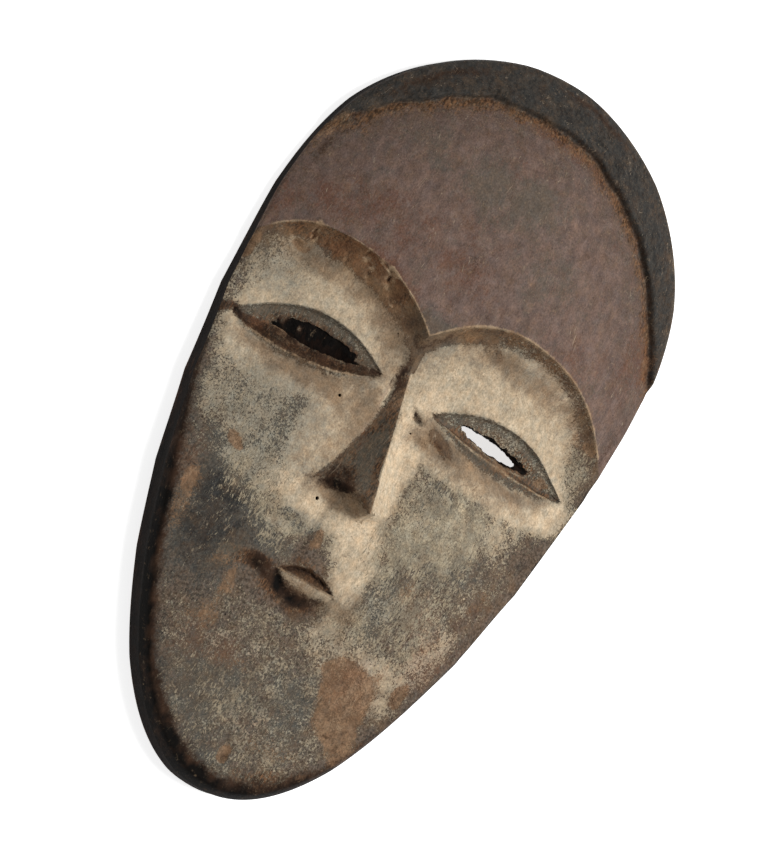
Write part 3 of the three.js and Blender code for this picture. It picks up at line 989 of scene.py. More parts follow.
DABS: dict[Pigment, tuple[Dab, ...]] = {
    Pigment.KAOLIN: (
        Dab(-11.5, -7, 5, 12, -14, 0.6, 0.4), Dab(2.6, -5, 3.6, 15, 0, 0.75, 0.3),
        Dab(-5, -20.5, 10, 3.6, 0, 0.6, 0.4), Dab(4.5, -25, 4.2, 8, 8, 0.6, 0.4),
        Dab(6.5, -34, 3, 6, -6, 0.25), Dab(8.1, 1.6, 4.5, 0.9, -22, -0.7, 0.5),
        Dab(-26, -3, 12, 3.5, 3, 0.3), Dab(20, -1.5, 19, 2.6, 3, 0.55, 0.4),
        Dab(35.5, 2.5, 4, 3.5, 0, 0.5, 0.4), Dab(-20, -22, 7, 4.5, -10, 0.22), Dab(-27, -12, 8, 7, 0, 0.12),
        Dab(-35, -13, 3, 6, 0, 0.1), Dab(12, -14, 3, 7, 10, 0.15), Dab(-33, -3, 4, 4, 0, 0.15),
        Dab(19, -12, 2.5, 6, 12, 0.2), Dab(26, -8, 3, 4, 0, 0.14), Dab(-12, -27.5, 3, 1.4, 10, 0.45),
        Dab(9, -41, 8, 3, 14, 0.12), Dab(-22, -35, 8.5, 9, 18, -0.5, 0.8),
        Dab(-25, -26.5, 7, 3, -12, -0.35, 0.8), Dab(-7, -27, 6.5, 3.6, -8, -0.1, 0.6),
        Dab(-11, -31, 5, 3, 0, -0.2), Dab(14.5, -7.5, 3.4, 3, 0, -0.2), Dab(15, -21, 5, 6, 0, -0.16),
        Dab(24, -14, 6, 4, 0, -0.16), Dab(34, -20, 4, 12, -14, -0.16), Dab(27, -24, 6, 5, 0, -0.15),
        Dab(-16, -35.5, 6, 2.4, 6, -0.4), Dab(-5, -38, 7, 2.6, 0, -0.3), Dab(-38.5, 12, 3.5, 8, 0, -0.26),
        Dab(-34, 16, 5, 4, 20, -0.2), Dab(38.5, 12, 4, 7, 18, -0.42, 0.6),
        Dab(34, 18, 6, 2.5, -28, -0.4, 0.6), Dab(2, 3, 2, 1.4, -35, -0.8, 0.3),
        Dab(8.5, 0.5, 3.5, 1.1, -28, -0.6, 0.4), Dab(5.2, -1, 1.3, 1, 0, -0.6, 0.3),
        Dab(-4, -48, 16, 6, 0, 0.05), Dab(4, -62, 12, 5, 0, 0.06), Dab(8.5, 21.2, 5, 1.2, -8, -0.25),
        Dab(-31, -22, 4, 7, 10, -0.12), Dab(24, -33, 7, 5, 0, -0.12), Dab(36, -6, 4, 5, 0, -0.25),
        Dab(31, -5, 3, 3, 0, 0.15), Dab(-38.4, 1.8, 2.4, 1, 30, -0.6, 0.6), Dab(22, -44, 5, 5, 0, 0.28, 0.7),
        Dab(-17, -12, 6, 7, 0, -0.1, 0.8), Dab(-13, -35.6, 6, 2.4, 10, -0.5, 0.6),
        Dab(-3, -38, 6, 2.2, 4, -0.5, 0.6), Dab(27, -30, 4, 8, -16, 0.22, 0.8), Dab(-8.6, 5, 3, 2, -30, 0.1),
        Dab(1.2, -29.4, 3.4, 2.2, 8, -0.34, 0.8), Dab(-3.4, -29.6, 3, 1.8, 8, -0.25, 0.8),
        Dab(-10, 3.4, 3, 3.4, 0, -0.35, 0.8),
    ),
    Pigment.SOOT_AND_SHADE: (
        Dab(-22, -34.5, 7, 8, 18, 0.72, 0.8), Dab(-25, -26.5, 6, 2.6, -12, 0.4, 0.8),
        Dab(-8, -35.8, 5, 1.5, 4, 0.5, 0.6), Dab(-11, -31, 4.5, 2, 0, 0.25, 0.8),
        Dab(0, -30.4, 5, 0.9, 0, 0.15), Dab(-38.4, 1.8, 2.4, 1, 30, 0.5, 0.6), Dab(-17, -59, 9, 3, -52, 0.3),
        Dab(-8, -70, 12, 3, -18, 0.4), Dab(15, -8, 3.5, 2.5, 0, 0.2), Dab(25, -14, 5, 3, 0, 0.18),
        Dab(36, -7, 3, 4, 0, 0.35), Dab(-2.2, -9, 1.6, 5, 0, 0.3), Dab(-5.5, -15.5, 4, 1.6, 14, 0.85),
        Dab(-4.6, 14.8, 3.4, 2.6, 0, 0.45), Dab(39, 12, 2.6, 6, 18, 0.45), Dab(-27.5, 18.6, 5, 1.5, 6, 0.3),
        Dab(-38, 17.5, 2, 2.5, 0, 0.3), Dab(0.6, -38, 1.6, 4, 0, 0.4), Dab(-18, -48, 4, 6, 0, 0.2),
        Dab(3, 46, 6, 4, 20, 0.12),
    ),
    Pigment.BLUE: (
        Dab(-27, -10, 10, 11, 0, 0.45, 0.7), Dab(-25, -22, 5, 4, 0, 0.5), Dab(-14, -58, 10, 8, 0, 0.3, 0.8),
        Dab(-34, 13, 6, 6, 0, 0.5, 0.7), Dab(-18, -14, 8, 8, 0, 0.3, 0.8),
        Dab(-8.5, -25, 4, 2.2, 14, 0.9, 0.4), Dab(-11, -31, 5, 2.4, 0, 0.7), Dab(-16, -7.5, 3, 2.4, 0, 0.35),
        Dab(14, -9, 4, 4, 0, 0.5), Dab(20, -16, 9, 5, 0, 0.45), Dab(-22, -33, 8, 9, 12, 0.9, 0.7),
        Dab(-3, -9.5, 1.3, 6, 4, 0.8), Dab(-11, 3.4, 2.2, 1.2, 0, 0.7), Dab(-4, -34.5, 5, 1, 0, 0.2),
        Dab(-6, 46, 8, 6, 0, 0.5), Dab(3, 49, 5, 4, 0, 0.4), Dab(9, 38, 7, 7, 0, 0.3),
        Dab(-22, 47, 6, 5, 0, 0.25), Dab(20, 21.8, 3, 0.9, -5, 0.6), Dab(9, -56, 4, 8, 12, 0.45),
        Dab(13, -30, 4, 6, 0, 0.6), Dab(3, -71, 7, 2, 0, 0.5), Dab(-2, -52, 8, 4, 0, 0.3),
        Dab(-4, -62, 12, 7, 0, 0.35, 0.8), Dab(-10.6, 4, 3, 3, 0, 0.5, 0.8), Dab(29, 1.5, 6, 1, 24, 0.7),
        Dab(-6, 16, 6, 4, 0, 0.6), Dab(-1.5, 17.8, 3, 2.2, 10, 0.8), Dab(8.1, 1.6, 4.5, 1, -22, 0.9, 0.6),
        Dab(14, 22, 9, 2.5, 0, 0.45), Dab(-29, 19, 4, 1.6, 8, 0.6),
    ),
    Pigment.BARE: (
        Dab(17, -49, 5, 7.5, 12, 1.1, 0.25), Dab(13, -44, 3, 2.5, 20, 0.9, 0.35),
        Dab(20.5, -44, 1.6, 3.5, -6, 0.6, 0.4), Dab(20.5, -55, 3.4, 4, 20, 0.85, 0.45),
        Dab(26.6, -42, 1.4, 2.8, -8, 1.1, 0.25), Dab(2.6, -67.8, 1.5, 2.1, 0, 1.1, 0.25),
        Dab(-25.6, -18.3, 2.2, 1, -32, 1.1, 0.25), Dab(-3.4, -26, 0.9, 1.9, 10, 1, 0.35),
        Dab(-28.3, -33, 1.8, 5.6, 10, 0.5, 0.6), Dab(-13.9, -41, 1.2, 3.4, 2, 0.7, 0.5),
        Dab(-13.8, -48, 1.8, 3, 6, 0.55, 0.6), Dab(-17, -38, 2.4, 1.2, 30, 0.45, 0.6),
        Dab(-32.4, 19.4, 1.6, 0.9, -8, 1.1, 0.3), Dab(-40.2, 14.2, 1, 2.6, 0, 1, 0.3),
        Dab(-26.5, 3.2, 2.2, 0.6, -6, 1, 0.35), Dab(22, 4.2, 2.6, 1.1, 8, 0.85, 0.4),
        Dab(31.5, 6.6, 1.8, 0.8, -8, 1, 0.35), Dab(-3.6, 3, 0.8, 3.4, -4, 0.6, 0.4),
        Dab(8.6, 21.6, 5, 1.2, -6, 0.35), Dab(26.5, -31, 1.5, 4, -16, 0.35), Dab(17, -25, 1.6, 2.4, 0, 0.45),
        Dab(31.8, -18, 1.3, 5, -10, 0.35), Dab(23, -60, 2, 5, -28, 0.6), Dab(-29, -28, 1.6, 3, 10, 0.55),
        Dab(-6, -53, 5, 1.4, 8, 0.35), Dab(-17, -50, 2, 3, 0, 0.3), Dab(1, -44.8, 3.4, 1.2, 0, 0.25),
        Dab(33.5, 17, 2, 1, -28, 0.6, 0.4), Dab(36.6, 17, 1.6, 0.8, -30, 0.9, 0.35),
        Dab(-16.5, 21.2, 1.1, 1.9, 25, 0.8, 0.4), Dab(-31.3, 22.2, 0.6, 1.8, 20, 0.9, 0.4),
        Dab(10, -63, 6, 1.6, 8, 0.4), Dab(39.2, 37.5, 1.4, 2.4, 0, 0.5), Dab(-38.6, 40, 1, 2, 0, 0.5),
    ),
    Pigment.CHALK: (
        Dab(12, -12, 5, 9, 8, 0.5, 0.6), Dab(19, -10, 5, 8, 12, 0.5, 0.6), Dab(24, -9, 5, 6, 20, 0.45, 0.6),
        Dab(9, -22, 4, 8, 6, 0.45, 0.6), Dab(20, -22, 8, 8, 0, 0.42, 0.6), Dab(-19, -22, 7, 5, 0, 0.4, 0.6),
        Dab(-27, -12, 9, 9, 0, 0.3, 0.6), Dab(-9, -30, 4, 3, 0, 0.45, 0.6),
        Dab(-23, -32, 6, 8, 10, 0.2, 0.6), Dab(-8.5, -25.5, 4, 2, 10, 0.5), Dab(37, 13, 3, 6, 0, 0.4),
        Dab(-14.5, -28.5, 3, 4, 30, 0.35, 0.7), Dab(9, -36, 5, 4, -30, 0.5, 0.6),
        Dab(20, -33, 8, 6, 0, 0.4, 0.6), Dab(-4, -50, 20, 10, 0, 0.3, 0.6), Dab(0, -65, 16, 8, 0, 0.3, 0.6),
        Dab(-38, 12, 3, 6, 0, 0.35, 0.6), Dab(-14, 17, 6, 3, -20, 0.2, 0.6),
    ),
    Pigment.STAIN_AND_SHADE: (
        Dab(-20, -1.2, 13, 2.6, 4, 0.75, 0.6), Dab(14, -0.6, 12, 2.2, 0, 0.5, 0.6),
        Dab(-22, 18, 14, 2.4, 0, 0.45, 0.6), Dab(-9, 12, 3, 6, 10, 0.5, 0.6),
        Dab(16, 20.5, 15, 1.8, -4, 0.5, 0.6), Dab(-7, -2, 2, 9, -4, 0.5, 0.6),
        Dab(-5, -17.5, 6, 2, 0, 1.1, 0.5), Dab(4.5, 2.5, 3, 2.4, -30, 0.7, 0.6),
        Dab(9.5, 0.4, 7, 1.5, 3, 0.75, 0.6), Dab(20, -1.4, 14, 2.4, 4, 0.4, 0.7),
        Dab(-12, -9, 4, 7, -14, 0.3, 0.8), Dab(33, -16, 4, 9, -12, 0.35, 0.8),
        Dab(24, -45, 4, 6, -20, 0.35, 0.8), Dab(-8, -57, 6, 5, 0, 0.2, 0.8), Dab(-1, -34, 7, 3, 0, 0.5, 0.6),
        Dab(3, -37.5, 8, 3, 0, 0.5, 0.6), Dab(-10, -8, 3, 8, -18, 0.2, 0.6),
        Dab(13, 19, 11, 3, -4, 0.2, 0.8), Dab(6.5, -13, 2, 6, 0, 0.25, 0.8),
        Dab(8, -33, 2.6, 3, 0, 0.6, 0.7), Dab(-9.6, 3.6, 3, 2.6, -20, 0.6, 0.7),
        Dab(-13, -3, 5, 3, 0, 0.3, 0.8),
    ),
    Pigment.BROWN: (
        Dab(-13, -35.3, 5.6, 1.8, 10, 0.95, 0.6), Dab(-3.4, -37.8, 6, 1.8, 4, 0.9, 0.6),
        Dab(-17.5, -39, 4, 1.8, 40, 0.6, 0.7), Dab(-9, -31.4, 3.4, 1, 10, 0.4, 0.7),
        Dab(14, -67, 12, 2.2, 24, 0.7, 0.7), Dab(27, -52, 2, 7, -26, 0.4, 0.7),
        Dab(-30, -27, 2.4, 5, 8, 0.35, 0.8), Dab(8, -41.5, 5, 1.6, 10, 0.2, 0.8),
        Dab(-35.6, 2.6, 3, 1.5, 20, 0.6, 0.8), Dab(6, 1.6, 5, 1.2, -30, 0.5, 0.8),
        Dab(14, -0.9, 9, 1, 2, 0.4, 0.8), Dab(8.1, 1.6, 4.5, 0.9, -22, 0.7, 0.6),
        Dab(-10.2, 3.4, 3, 3.4, 0, 0.4, 0.8), Dab(-2.5, -30.8, 5.5, 1.2, 6, 0.45, 0.8),
    ),
    Pigment.DIRT_AND_SHADE: (
        Dab(1.8, 3, 2.1, 0.75, -34, 0.9, 0.5), Dab(4.9, -0.8, 0.8, 0.6, -30, 0.4, 0.6),
        Dab(7.6, 0.7, 1.6, 0.5, -35, 0.45, 0.6), Dab(-2.5, -38.2, 4.6, 1.3, 4, 0.5, 0.7),
        Dab(-4.9, 8, 1, 4, 4, 0.3, 0.7), Dab(17.5, -55.5, 0.8, 0.6, 0, 0.5, 0.7),
        Dab(-9.4, -35.8, 3.8, 1.5, -18, 0.95, 0.7), Dab(-12.8, -34.8, 3.4, 1.2, 4, 0.2, 0.7),
        Dab(-5.8, -14.4, 2.8, 2.6, 0, 0.75, 0.7), Dab(-3.9, 8, 0.8, 3, 4, 0.6, 0.6),
        Dab(-4.2, 3.5, 0.5, 3, 4, 0.35, 0.6), Dab(-5.2, 9, 0.8, 3.4, 0, 0.45, 0.6),
        Dab(-6.6, -16.4, 3.4, 1, 16, 0.5, 0.7), Dab(3.2, -68.4, 0.7, 0.9, 0, 0.4, 0.6),
        Dab(26.4, -42.6, 0.6, 1.4, -8, 0.4, 0.6), Dab(-22, -37, 3, 4, 0, 0.2, 0.8),
        Dab(-4.2, 32, 0.6, 1.6, 10, 0.45, 0.6), Dab(-37.4, 2.2, 2.6, 0.9, 30, 0.4, 0.8),
    ),
    Pigment.RUST: (
        Dab(-22, 31, 11, 6, 0, 0.45), Dab(-4, 29, 6, 6, 0, 0.4), Dab(37, 37, 5, 8, 0, 0.5),
        Dab(2, 61.5, 13, 2, -2, 0.4), Dab(20, 58, 8, 2, -32, 0.2), Dab(-40, 24, 3, 6, 0, 0.5),
        Dab(-17, 22.6, 3, 1, -18, 1), Dab(30, 28, 8, 6, 0, 0.2), Dab(-31, -26, 3, 7, 8, 0.35),
        Dab(30, -30, 4, 12, -20, 0.35), Dab(-22, 22, 9, 3, 4, 0.7), Dab(-12, 18, 4, 4, 0, 0.5),
        Dab(24, 22, 10, 3, -20, 0.4), Dab(-8, 40, 7, 5, 0, 0.25), Dab(-10, -52, 8, 3.5, 10, 0.6, 0.8),
        Dab(4, -60, 6, 3, 0, 0.35, 0.8), Dab(12, -42, 8, 3, 10, 0.4, 0.8),
        Dab(26, -38, 5, 8, -18, 0.35, 0.8), Dab(20, 30, 6, 4, 0, 0.25), Dab(-33, 27, 5, 4, 0, 0.35),
        Dab(22, -27, 4, 5, 0, 0.5), Dab(-5.6, -1, 0.5, 9, 3, 0.8), Dab(-31.5, 2.3, 1.6, 1, 0, 0.7),
        Dab(17, -47, 6, 5, 0, 0.4), Dab(-5, 52, 7, 5, 0, 0.25),
    ),
}


@dataclass
class Ground:
    """What the pigments go by at places on the face, in millimetres and in shares from 0 to 1.

    It holds how deep in a hole the places lie, how far they lie in from the outline, below the brow and
    over the hair's edge, how much edges wander there, and how far they belong to each part of the carving.
    """

    x: Array
    y: Array
    depth: Array
    inward: Array
    below: Array
    over_hair: Array
    ragged: Array
    forehead: Array
    hair: Array
    margin: Array
    side: Array
    band_width: Array
    band: Array
    flank: Array
    rim: Array
    eye: dict[str, Array]
    mouth: dict[str, Array]


@dataclass(frozen=True)
class Paintwork:
    """Lays the pigments out over the carving, as amounts from 0 to about 1."""

    relief: Relief
    wander: Unevenness = Unevenness(31)
    drift: Unevenness = Unevenness(32)
    bands: tuple[tuple[float, float, float], ...] = (
        (-40.0, 0.8, 0.6), (-36.0, 1.8, 0.85), (-32.0, 3.0, 0.95), (-28.0, 3.9, 1.0), (-24.0, 4.2, 1.0),
        (-13.0, 4.0, 1.0), (-6.0, 3.0, 1.0), (4.0, 2.8, 0.9), (10.0, 2.3, 0.68), (18.0, 1.6, 0.58),
        (34.0, 1.6, 0.54), (38.0, 0.8, 0.45),
    )

    def dabs(self, pigment: Pigment, at: Ground) -> Array:
        """Adds up a pigment's patches, with their edges made ragged.

        Args:
            pigment: the pigment.
            at: the places.

        Returns:
            Its amount.
        """
        u = at.x + 0.9 * self.wander.layered(at.x, at.y, 3.2)
        v = at.y + 0.9 * self.drift.layered(at.x, at.y, 3.2)
        total = np.zeros_like(u)
        for dab in DABS[pigment]:
            total = total + dab.level(u, v)
        return total

    def ground(self, x: Array, y: Array, depth: Array) -> Ground:
        """Reads the carving at places on the face.

        Args:
            x, y: the places.
            depth: how far the places lie below the face, inside a slit or a hole.

        Returns:
            What the pigments go by.
        """
        relief = self.relief
        _, inward = relief.egg.reach(x, y)
        below = -above(relief.brow.line, x, y)
        over_hair = above(relief.hair.line, x, y)
        ragged = 0.5 * self.wander.layered(x, 0.5 * y, 1.7)
        hair = smooth(-0.6, 0.6, over_hair + 1.3 * ragged)
        places, widths, strengths = zip(*self.bands)
        band_width = np.interp(x, places, widths) + 0.7 * self.drift.layered(x, y, 5.0) + 0.9 * ragged
        band = smooth(-0.1, 0.2, below) * fades(-0.9, 1.2, below - band_width)
        band = band * np.interp(x, places, strengths)
        left, right = (self.eye_parts(eye, x, y, ragged) for eye in relief.eyes)
        return Ground(
            x, y, depth, inward, below, over_hair, ragged, hair=hair, band_width=band_width, band=band,
            forehead=fades(-0.1, 0.15, below),
            margin=smooth(-4.2, -0.3, over_hair) * (1.0 - hair),
            side=smooth(-8.0, 8.0, x),
            flank=self.nose_flank(x, y, ragged),
            rim=self.slit_rims(x, y),
            eye={name: np.maximum(left[name], right[name]) for name in left},
            mouth=self.mouth_parts(x, y),
        )

    def amounts(self, x: Array, y: Array, depth: Array) -> dict[Pigment, Array]:
        """Measures each pigment over places on the face.

        Args:
            x, y: the places.
            depth: how far the places lie below the face, inside a slit or a hole.

        Returns:
            An amount for each pigment.
        """
        at = self.ground(x, y, depth)
        off_hair, off_forehead, off_eyes = 1.0 - at.hair, 1.0 - at.forehead, 1.0 - at.eye["inside"]
        return {
            Pigment.RED: at.forehead * off_hair * (1.0 - 0.3 * smooth(-15.0, -3.0, at.over_hair)),
            Pigment.SOOT_AND_SHADE: self.soot(at),
            Pigment.BROWN: self.brown(at),
            Pigment.KAOLIN: self.kaolin(at),
            Pigment.BLUE: self.blue(at),
            Pigment.BARE: self.dabs(Pigment.BARE, at) + 0.5 * at.rim * fades(0.05, 0.3, depth),
            Pigment.RUST: self.dabs(Pigment.RUST, at) + 0.1 * at.margin + 0.1 * at.eye["lid"],
            Pigment.CHALK: self.dabs(Pigment.CHALK, at) * off_eyes * (1.0 - at.flank) * off_forehead,
            Pigment.STAIN_AND_SHADE: self.stain(at),
            Pigment.DIRT_AND_SHADE: self.dirt(at),
            Pigment.WEAR: self.wear(at),
        }

    def kaolin(self, at: Ground) -> Array:
        """Lays white clay over the eye areas and the nose, thinner down the cheeks.

        Args:
            at: the places.

        Returns:
            Its amount.
        """
        side, eye = at.side, at.eye
        off_brow = (1.0 - at.forehead) * (1.0 - at.band)
        cheek = mix(0.52, 0.53, side) - mix(0.2, 0.13, side) * smooth(-36.0, -48.0, at.y)
        kaolin = mix(0.99, cheek, smooth(0.5, 6.5, self.below_eyes(at.x, at.y))) * off_brow
        kaolin = kaolin + self.dabs(Pigment.KAOLIN, at) * off_brow
        kaolin = kaolin * (1.0 - 0.97 * eye["inside"]) * (1.0 - at.flank)
        kaolin = kaolin - 0.3 * fades(0.5, 4.5, at.inward) * (1.0 - at.forehead)
        kaolin = kaolin + mix(0.3, 0.4, side) * eye["upper"] + mix(0.34, 0.24, side) * eye["valley"]
        kaolin = np.maximum(kaolin + 0.5 * eye["ridge"], mix(0.6, 0.7, side) * at.rim)
        return kaolin + 0.44 * at.mouth["lower_lip"] - 0.8 * at.mouth["upper_lip"]

    def soot(self, at: Ground) -> Array:
        """Blackens the hair, the jaw's edge, the eyes and the nose's left flank, and lays painted shade above
        the slits.

        Args:
            at: the places.

        Returns:
            Its amount.
        """
        side, eye, face = at.side, at.eye, 1.0 - at.forehead
        jaw_edge = fades(0.3, mix(1.4, 4.2, smooth(-20.0, -60.0, at.y)), at.inward + 0.8 * at.ragged)
        soot = at.hair * 1.3 + self.dabs(Pigment.SOOT_AND_SHADE, at) * face + 0.85 * jaw_edge * face
        soot = soot + 0.25 * side * eye["valley"] + 0.35 * at.forehead * fades(0.1, 0.8, at.inward)
        soot = soot + mix(0.35, 0.05, side) * eye["inside"] + 0.3 * at.flank
        # painted shade above the slits, darker over the left eye
        return soot + mix(0.9, 0.45, side) * eye["shade"]

    def brown(self, at: Ground) -> Array:
        """Bares brown wood under the brow, in the eyes, on the nose's left flank and along the hair's edge.

        Args:
            at: the places.

        Returns:
            Its amount.
        """
        edge = smooth(-5.0 + 2.6 * at.ragged, 0.4, at.over_hair) * (1.0 - at.hair)
        brown = np.maximum(at.band, 0.9 * at.flank) + 0.85 * at.eye["inside"] + 0.8 * at.mouth["upper_lip"]
        brown = brown + self.dabs(Pigment.BROWN, at) + 0.8 * edge + 0.3 * at.side * at.eye["beneath"]
        return brown + 0.6 * at.hair * smooth(0.0, 20.0, at.x) * bell(at.inward - 0.5, 0.6)

    def blue(self, at: Ground) -> Array:
        """Turns the tones blue on the hair, under the right brow and in the eyes.

        Args:
            at: the places.

        Returns:
            Its amount.
        """
        side, eye = at.side, at.eye
        blue = 0.2 + 0.5 * at.hair + 0.25 * at.band * side + self.dabs(Pigment.BLUE, at) + 0.55 * eye["brim"]
        return blue + 0.3 * eye["upper"] + 0.25 * side * eye["lid"] + 0.6 * eye["valley"] + 0.35 * at.flank

    def stain(self, at: Ground) -> Array:
        """Stains the clay beneath the eyes, and darkens it towards the brow, partly as stain and partly as
        painted shade.

        Args:
            at: the places.

        Returns:
            Its amount.
        """
        side, off_eyes = at.side, 1.0 - at.eye["inside"]
        # stain and painted shade: the clay darker towards the brow
        towards_brow = fades(0.5, 8.0, at.below - at.band_width) * (1.0 - at.forehead) * off_eyes
        stain = self.dabs(Pigment.STAIN_AND_SHADE, at) + mix(0.62, 0.42, side) * towards_brow + 0.25 * at.band * side
        return stain + mix(0.6, 0.9, side) * at.eye["beneath"] + 0.2 * at.margin

    def dirt(self, at: Ground) -> Array:
        """Lays dirt in the eyes' corners and the chips' floors, and painted shade in creases, slits, holes,
        round the mouth and on the jaw's rim.

        Args:
            at: the places.

        Returns:
            Its amount.
        """
        x, eye, left = at.x, at.eye, 1.0 - at.side
        # painted shade in the crease along the hair's step, and dirt and painted shade just below it
        crease = bell(at.over_hair - 0.35, 0.5) * smooth(-16.0, 14.0, x)
        dirt = 0.35 * crease + 0.4 * bell(at.over_hair + 0.3 + 0.8 * at.ragged, 0.5) + at.mouth["dirt"]
        # painted shade: darker the deeper a place lies inside a slit or a wormhole
        dirt = dirt + smooth(0.01, 0.12, at.depth) * 1.5 * smooth(1.5, 3.0, at.inward) + 0.45 * eye["corner"]
        # painted shade over the left eye's lid and above its slit
        dirt = dirt + self.dabs(Pigment.DIRT_AND_SHADE, at) + (0.7 * eye["lid"] + 0.5 * eye["shade"]) * left
        # painted shade along the jaw's rim
        dirt = dirt + self.dark_rim(x, at.y, at.inward + 0.8 * at.ragged)
        dirt = dirt + 0.5 * bell(at.below - 1.6, 1.0) * smooth(-12.0, -3.0, x) * fades(-3.0, 3.0, x)
        for dent in CHIPS:
            dirt = dirt + 0.7 * dent.dull(x, at.y)
        return dirt

    def wear(self, at: Ground) -> Array:
        """Rubs the brow's edge, the nose's ridge, the lids, the mouth and the edges of the chips bright.

        Args:
            at: the places.

        Returns:
            Its amount.
        """
        x, y, side = at.x, at.y, at.side
        uneven = mix(0.6, 0.75, side) + 0.6 * self.drift.layered(x, y, 4.0)
        wear = bell(at.below + 0.08, mix(0.22, 0.34, side)) * uneven
        for dent in CHIPS:
            wear = wear + 0.8 * dent.bright(x, y)
        ridge = bell(x - self.ridge_x(y), 0.3) * fades(9.0, 11.0, y) * smooth(-18.6, -17.8, y)
        wear = wear * fades(38.0, 40.0, np.abs(x)) + 0.5 * ridge + 0.1 * at.margin
        return wear + 0.75 * at.eye["ridge"] * fades(0.3, 1.0, at.depth) + 0.75 * at.mouth["ridge"]

    def dark_rim(self, x: Array, y: Array, inward: Array) -> Array:
        """Darkens the rim of the jaw with painted shade, wide on the left and round the chin, narrow on the
        right.

        Args:
            x, y: the places.
            inward: their distance to the outline.

        Returns:
            The painted shade there.
        """
        jaw = smooth(0.0, -34.0, y)
        right = smooth(14.0, 32.0, x)
        chin = smooth(-56.0, -68.0, y)
        width = mix(0.9, 3.8, jaw) * mix(1.0, 0.4, right) + 1.4 * chin
        strength = 1.6 * mix(0.3, 1.0, jaw) * mix(1.0, 0.55, smooth(0.0, 14.0, x)) + 0.5 * chin
        return strength * fades(0.0, 1.15, inward / width)

    def ridge_x(self, y: Array) -> Array:
        """Gives the nose ridge's x at a height."""
        nose = self.relief.nose
        return nose.ridge(np.clip((nose.root[1] - y) / (nose.root[1] - nose.tip[1]), 0.0, 1.0))[0]

    def eye_parts(self, eye: Eye, x: Array, y: Array, ragged: Array) -> dict[str, Array]:
        """Says how far places lie on each part of an eye.

        Args:
            eye: the eye.
            x, y: the places.
            ragged: how much the eye's edge wanders.

        Returns:
            From 0 to 1 for the whole almond, its upper plane and that plane's brim, its lower lid, the lid's
            ridge, the valley beyond, the shade above the slit, the corners and the cheek beneath.
        """
        along, off, top, bottom, swell = eye.almond.at(x, y)
        within = (along > 0.0) & (along < 1.0)
        inside = smooth(-0.1, 0.12, top - off) * smooth(-1.1, 1.0, bottom + 0.5 + off + 1.4 * ragged) * within
        ridge_at = eye.ridge_share * bottom + eye.ridge_least
        valley = inside * smooth(-0.1, 0.5, -off - ridge_at + 0.4 * ragged)
        upper = inside * smooth(-0.2, 0.4, off)
        _, slit_off, slit_top, _, slit_swell = eye.slit.at(x, y)
        shade = bell(slit_off - slit_top - 0.3, 0.9) * np.clip(4.0 * slit_swell, 0.0, 1.0) * inside
        return {
            "inside": inside,
            "upper": upper,
            "brim": inside * bell(top - off - 0.7, 0.9),
            "lid": inside * (1.0 - valley) * (1.0 - upper),
            "ridge": bell(off + ridge_at + 0.5 * ragged, 0.25) * smooth(0.1, 0.5, swell) * within,
            "valley": valley,
            "shade": shade,
            "corner": inside * fades(0.04, 0.3, swell),
            "beneath": bell(-off - bottom - 1.0, 1.9) * within * smooth(0.0, 0.5, swell) * (1.0 - inside),
        }

    def nose_flank(self, x: Array, y: Array, ragged: Array) -> Array:
        """Says how far places lie on the dark left flank of the nose or on the bridge above it.

        Args:
            x, y: the places.
            ragged: how much edges wander there.

        Returns:
            From 0 to 1.
        """
        nose = self.relief.nose
        part, out, side = nose.section(x, y)
        edge, _ = nose.lower_edge(x)
        flank = (side < 0) * fades(0.96, 1.04, out) * smooth(-0.15, 0.15, y - edge) * (y < nose.root[1])
        bridge_x = mix(-3.9, -4.9, smooth(9.5, 16.0, y))
        bridge = smooth(9.3, 9.7, y) * fades(14.0, 16.5, y)
        bridge = bridge * fades(0.8, 1.5, np.abs(x - bridge_x) + 0.4 * ragged)
        return np.clip(flank + bridge, 0.0, 1.0) * (1.0 - smooth(0.98, 1.0, part) * (side > 0))

    def below_eyes(self, x: Array, y: Array) -> Array:
        """Measures how far places lie below the eyes' lower edges.

        Args:
            x, y: the places.

        Returns:
            The distance, negative above them.
        """
        left, right = (eye.almond.edge(x, False) for eye in self.relief.eyes)
        middle = (self.relief.eyes[0].almond.end[0] + self.relief.eyes[1].almond.end[0]) / 2
        blend = smooth(middle - 4.0, middle + 4.0, x)
        return mix(left, right, blend) - y

    def slit_rims(self, x: Array, y: Array) -> Array:
        """Says how close places lie to the worn lower rims of the slits.

        Args:
            x, y: the places.

        Returns:
            From 0 to 1, on a rim.
        """
        total = np.zeros_like(x)
        for eye in self.relief.eyes:
            along, off, _, bottom, swell = eye.slit.at(x, y)
            near = bell(off + bottom + 0.3, 0.3)
            total = np.maximum(total, near * smooth(0.05, 0.3, swell) * (along > 0) * (along < 1))
        return total

    def mouth_parts(self, x: Array, y: Array) -> dict[str, Array]:
        """Says how far places lie on each part of the mouth.

        Args:
            x, y: the places.

        Returns:
            From 0 to 1 for the cut upper plane, the ridge between the lips, the lower lip and the painted
            shade round them.
        """
        _, off, top, bottom, swell = self.relief.mouth.lens.at(x, y)
        there = smooth(0.0, 0.12, swell)
        upper = smooth(0.05, 0.5, off) * smooth(-0.1, 0.15, top - off) * there
        lower = smooth(0.05, 0.35, -off) * fades(0.7, 1.15, -off / np.maximum(bottom, 0.1)) * there
        cut = bell(off - top + 0.45, 0.5) * there
        under = bell(off + bottom + 1.0, 1.3) * np.clip(2.0 * swell, 0.0, 1.0) * fades(0.0, 6.5, x)
        return {
            "upper_lip": upper,
            "lower_lip": lower,
            "ridge": bell(off - 0.05, 0.22) * there,
            # painted shade under the upper lip's edge, over the cut plane and beneath the lower lip
            "dirt": 0.5 * cut + 0.45 * upper + 1.0 * under,
        }


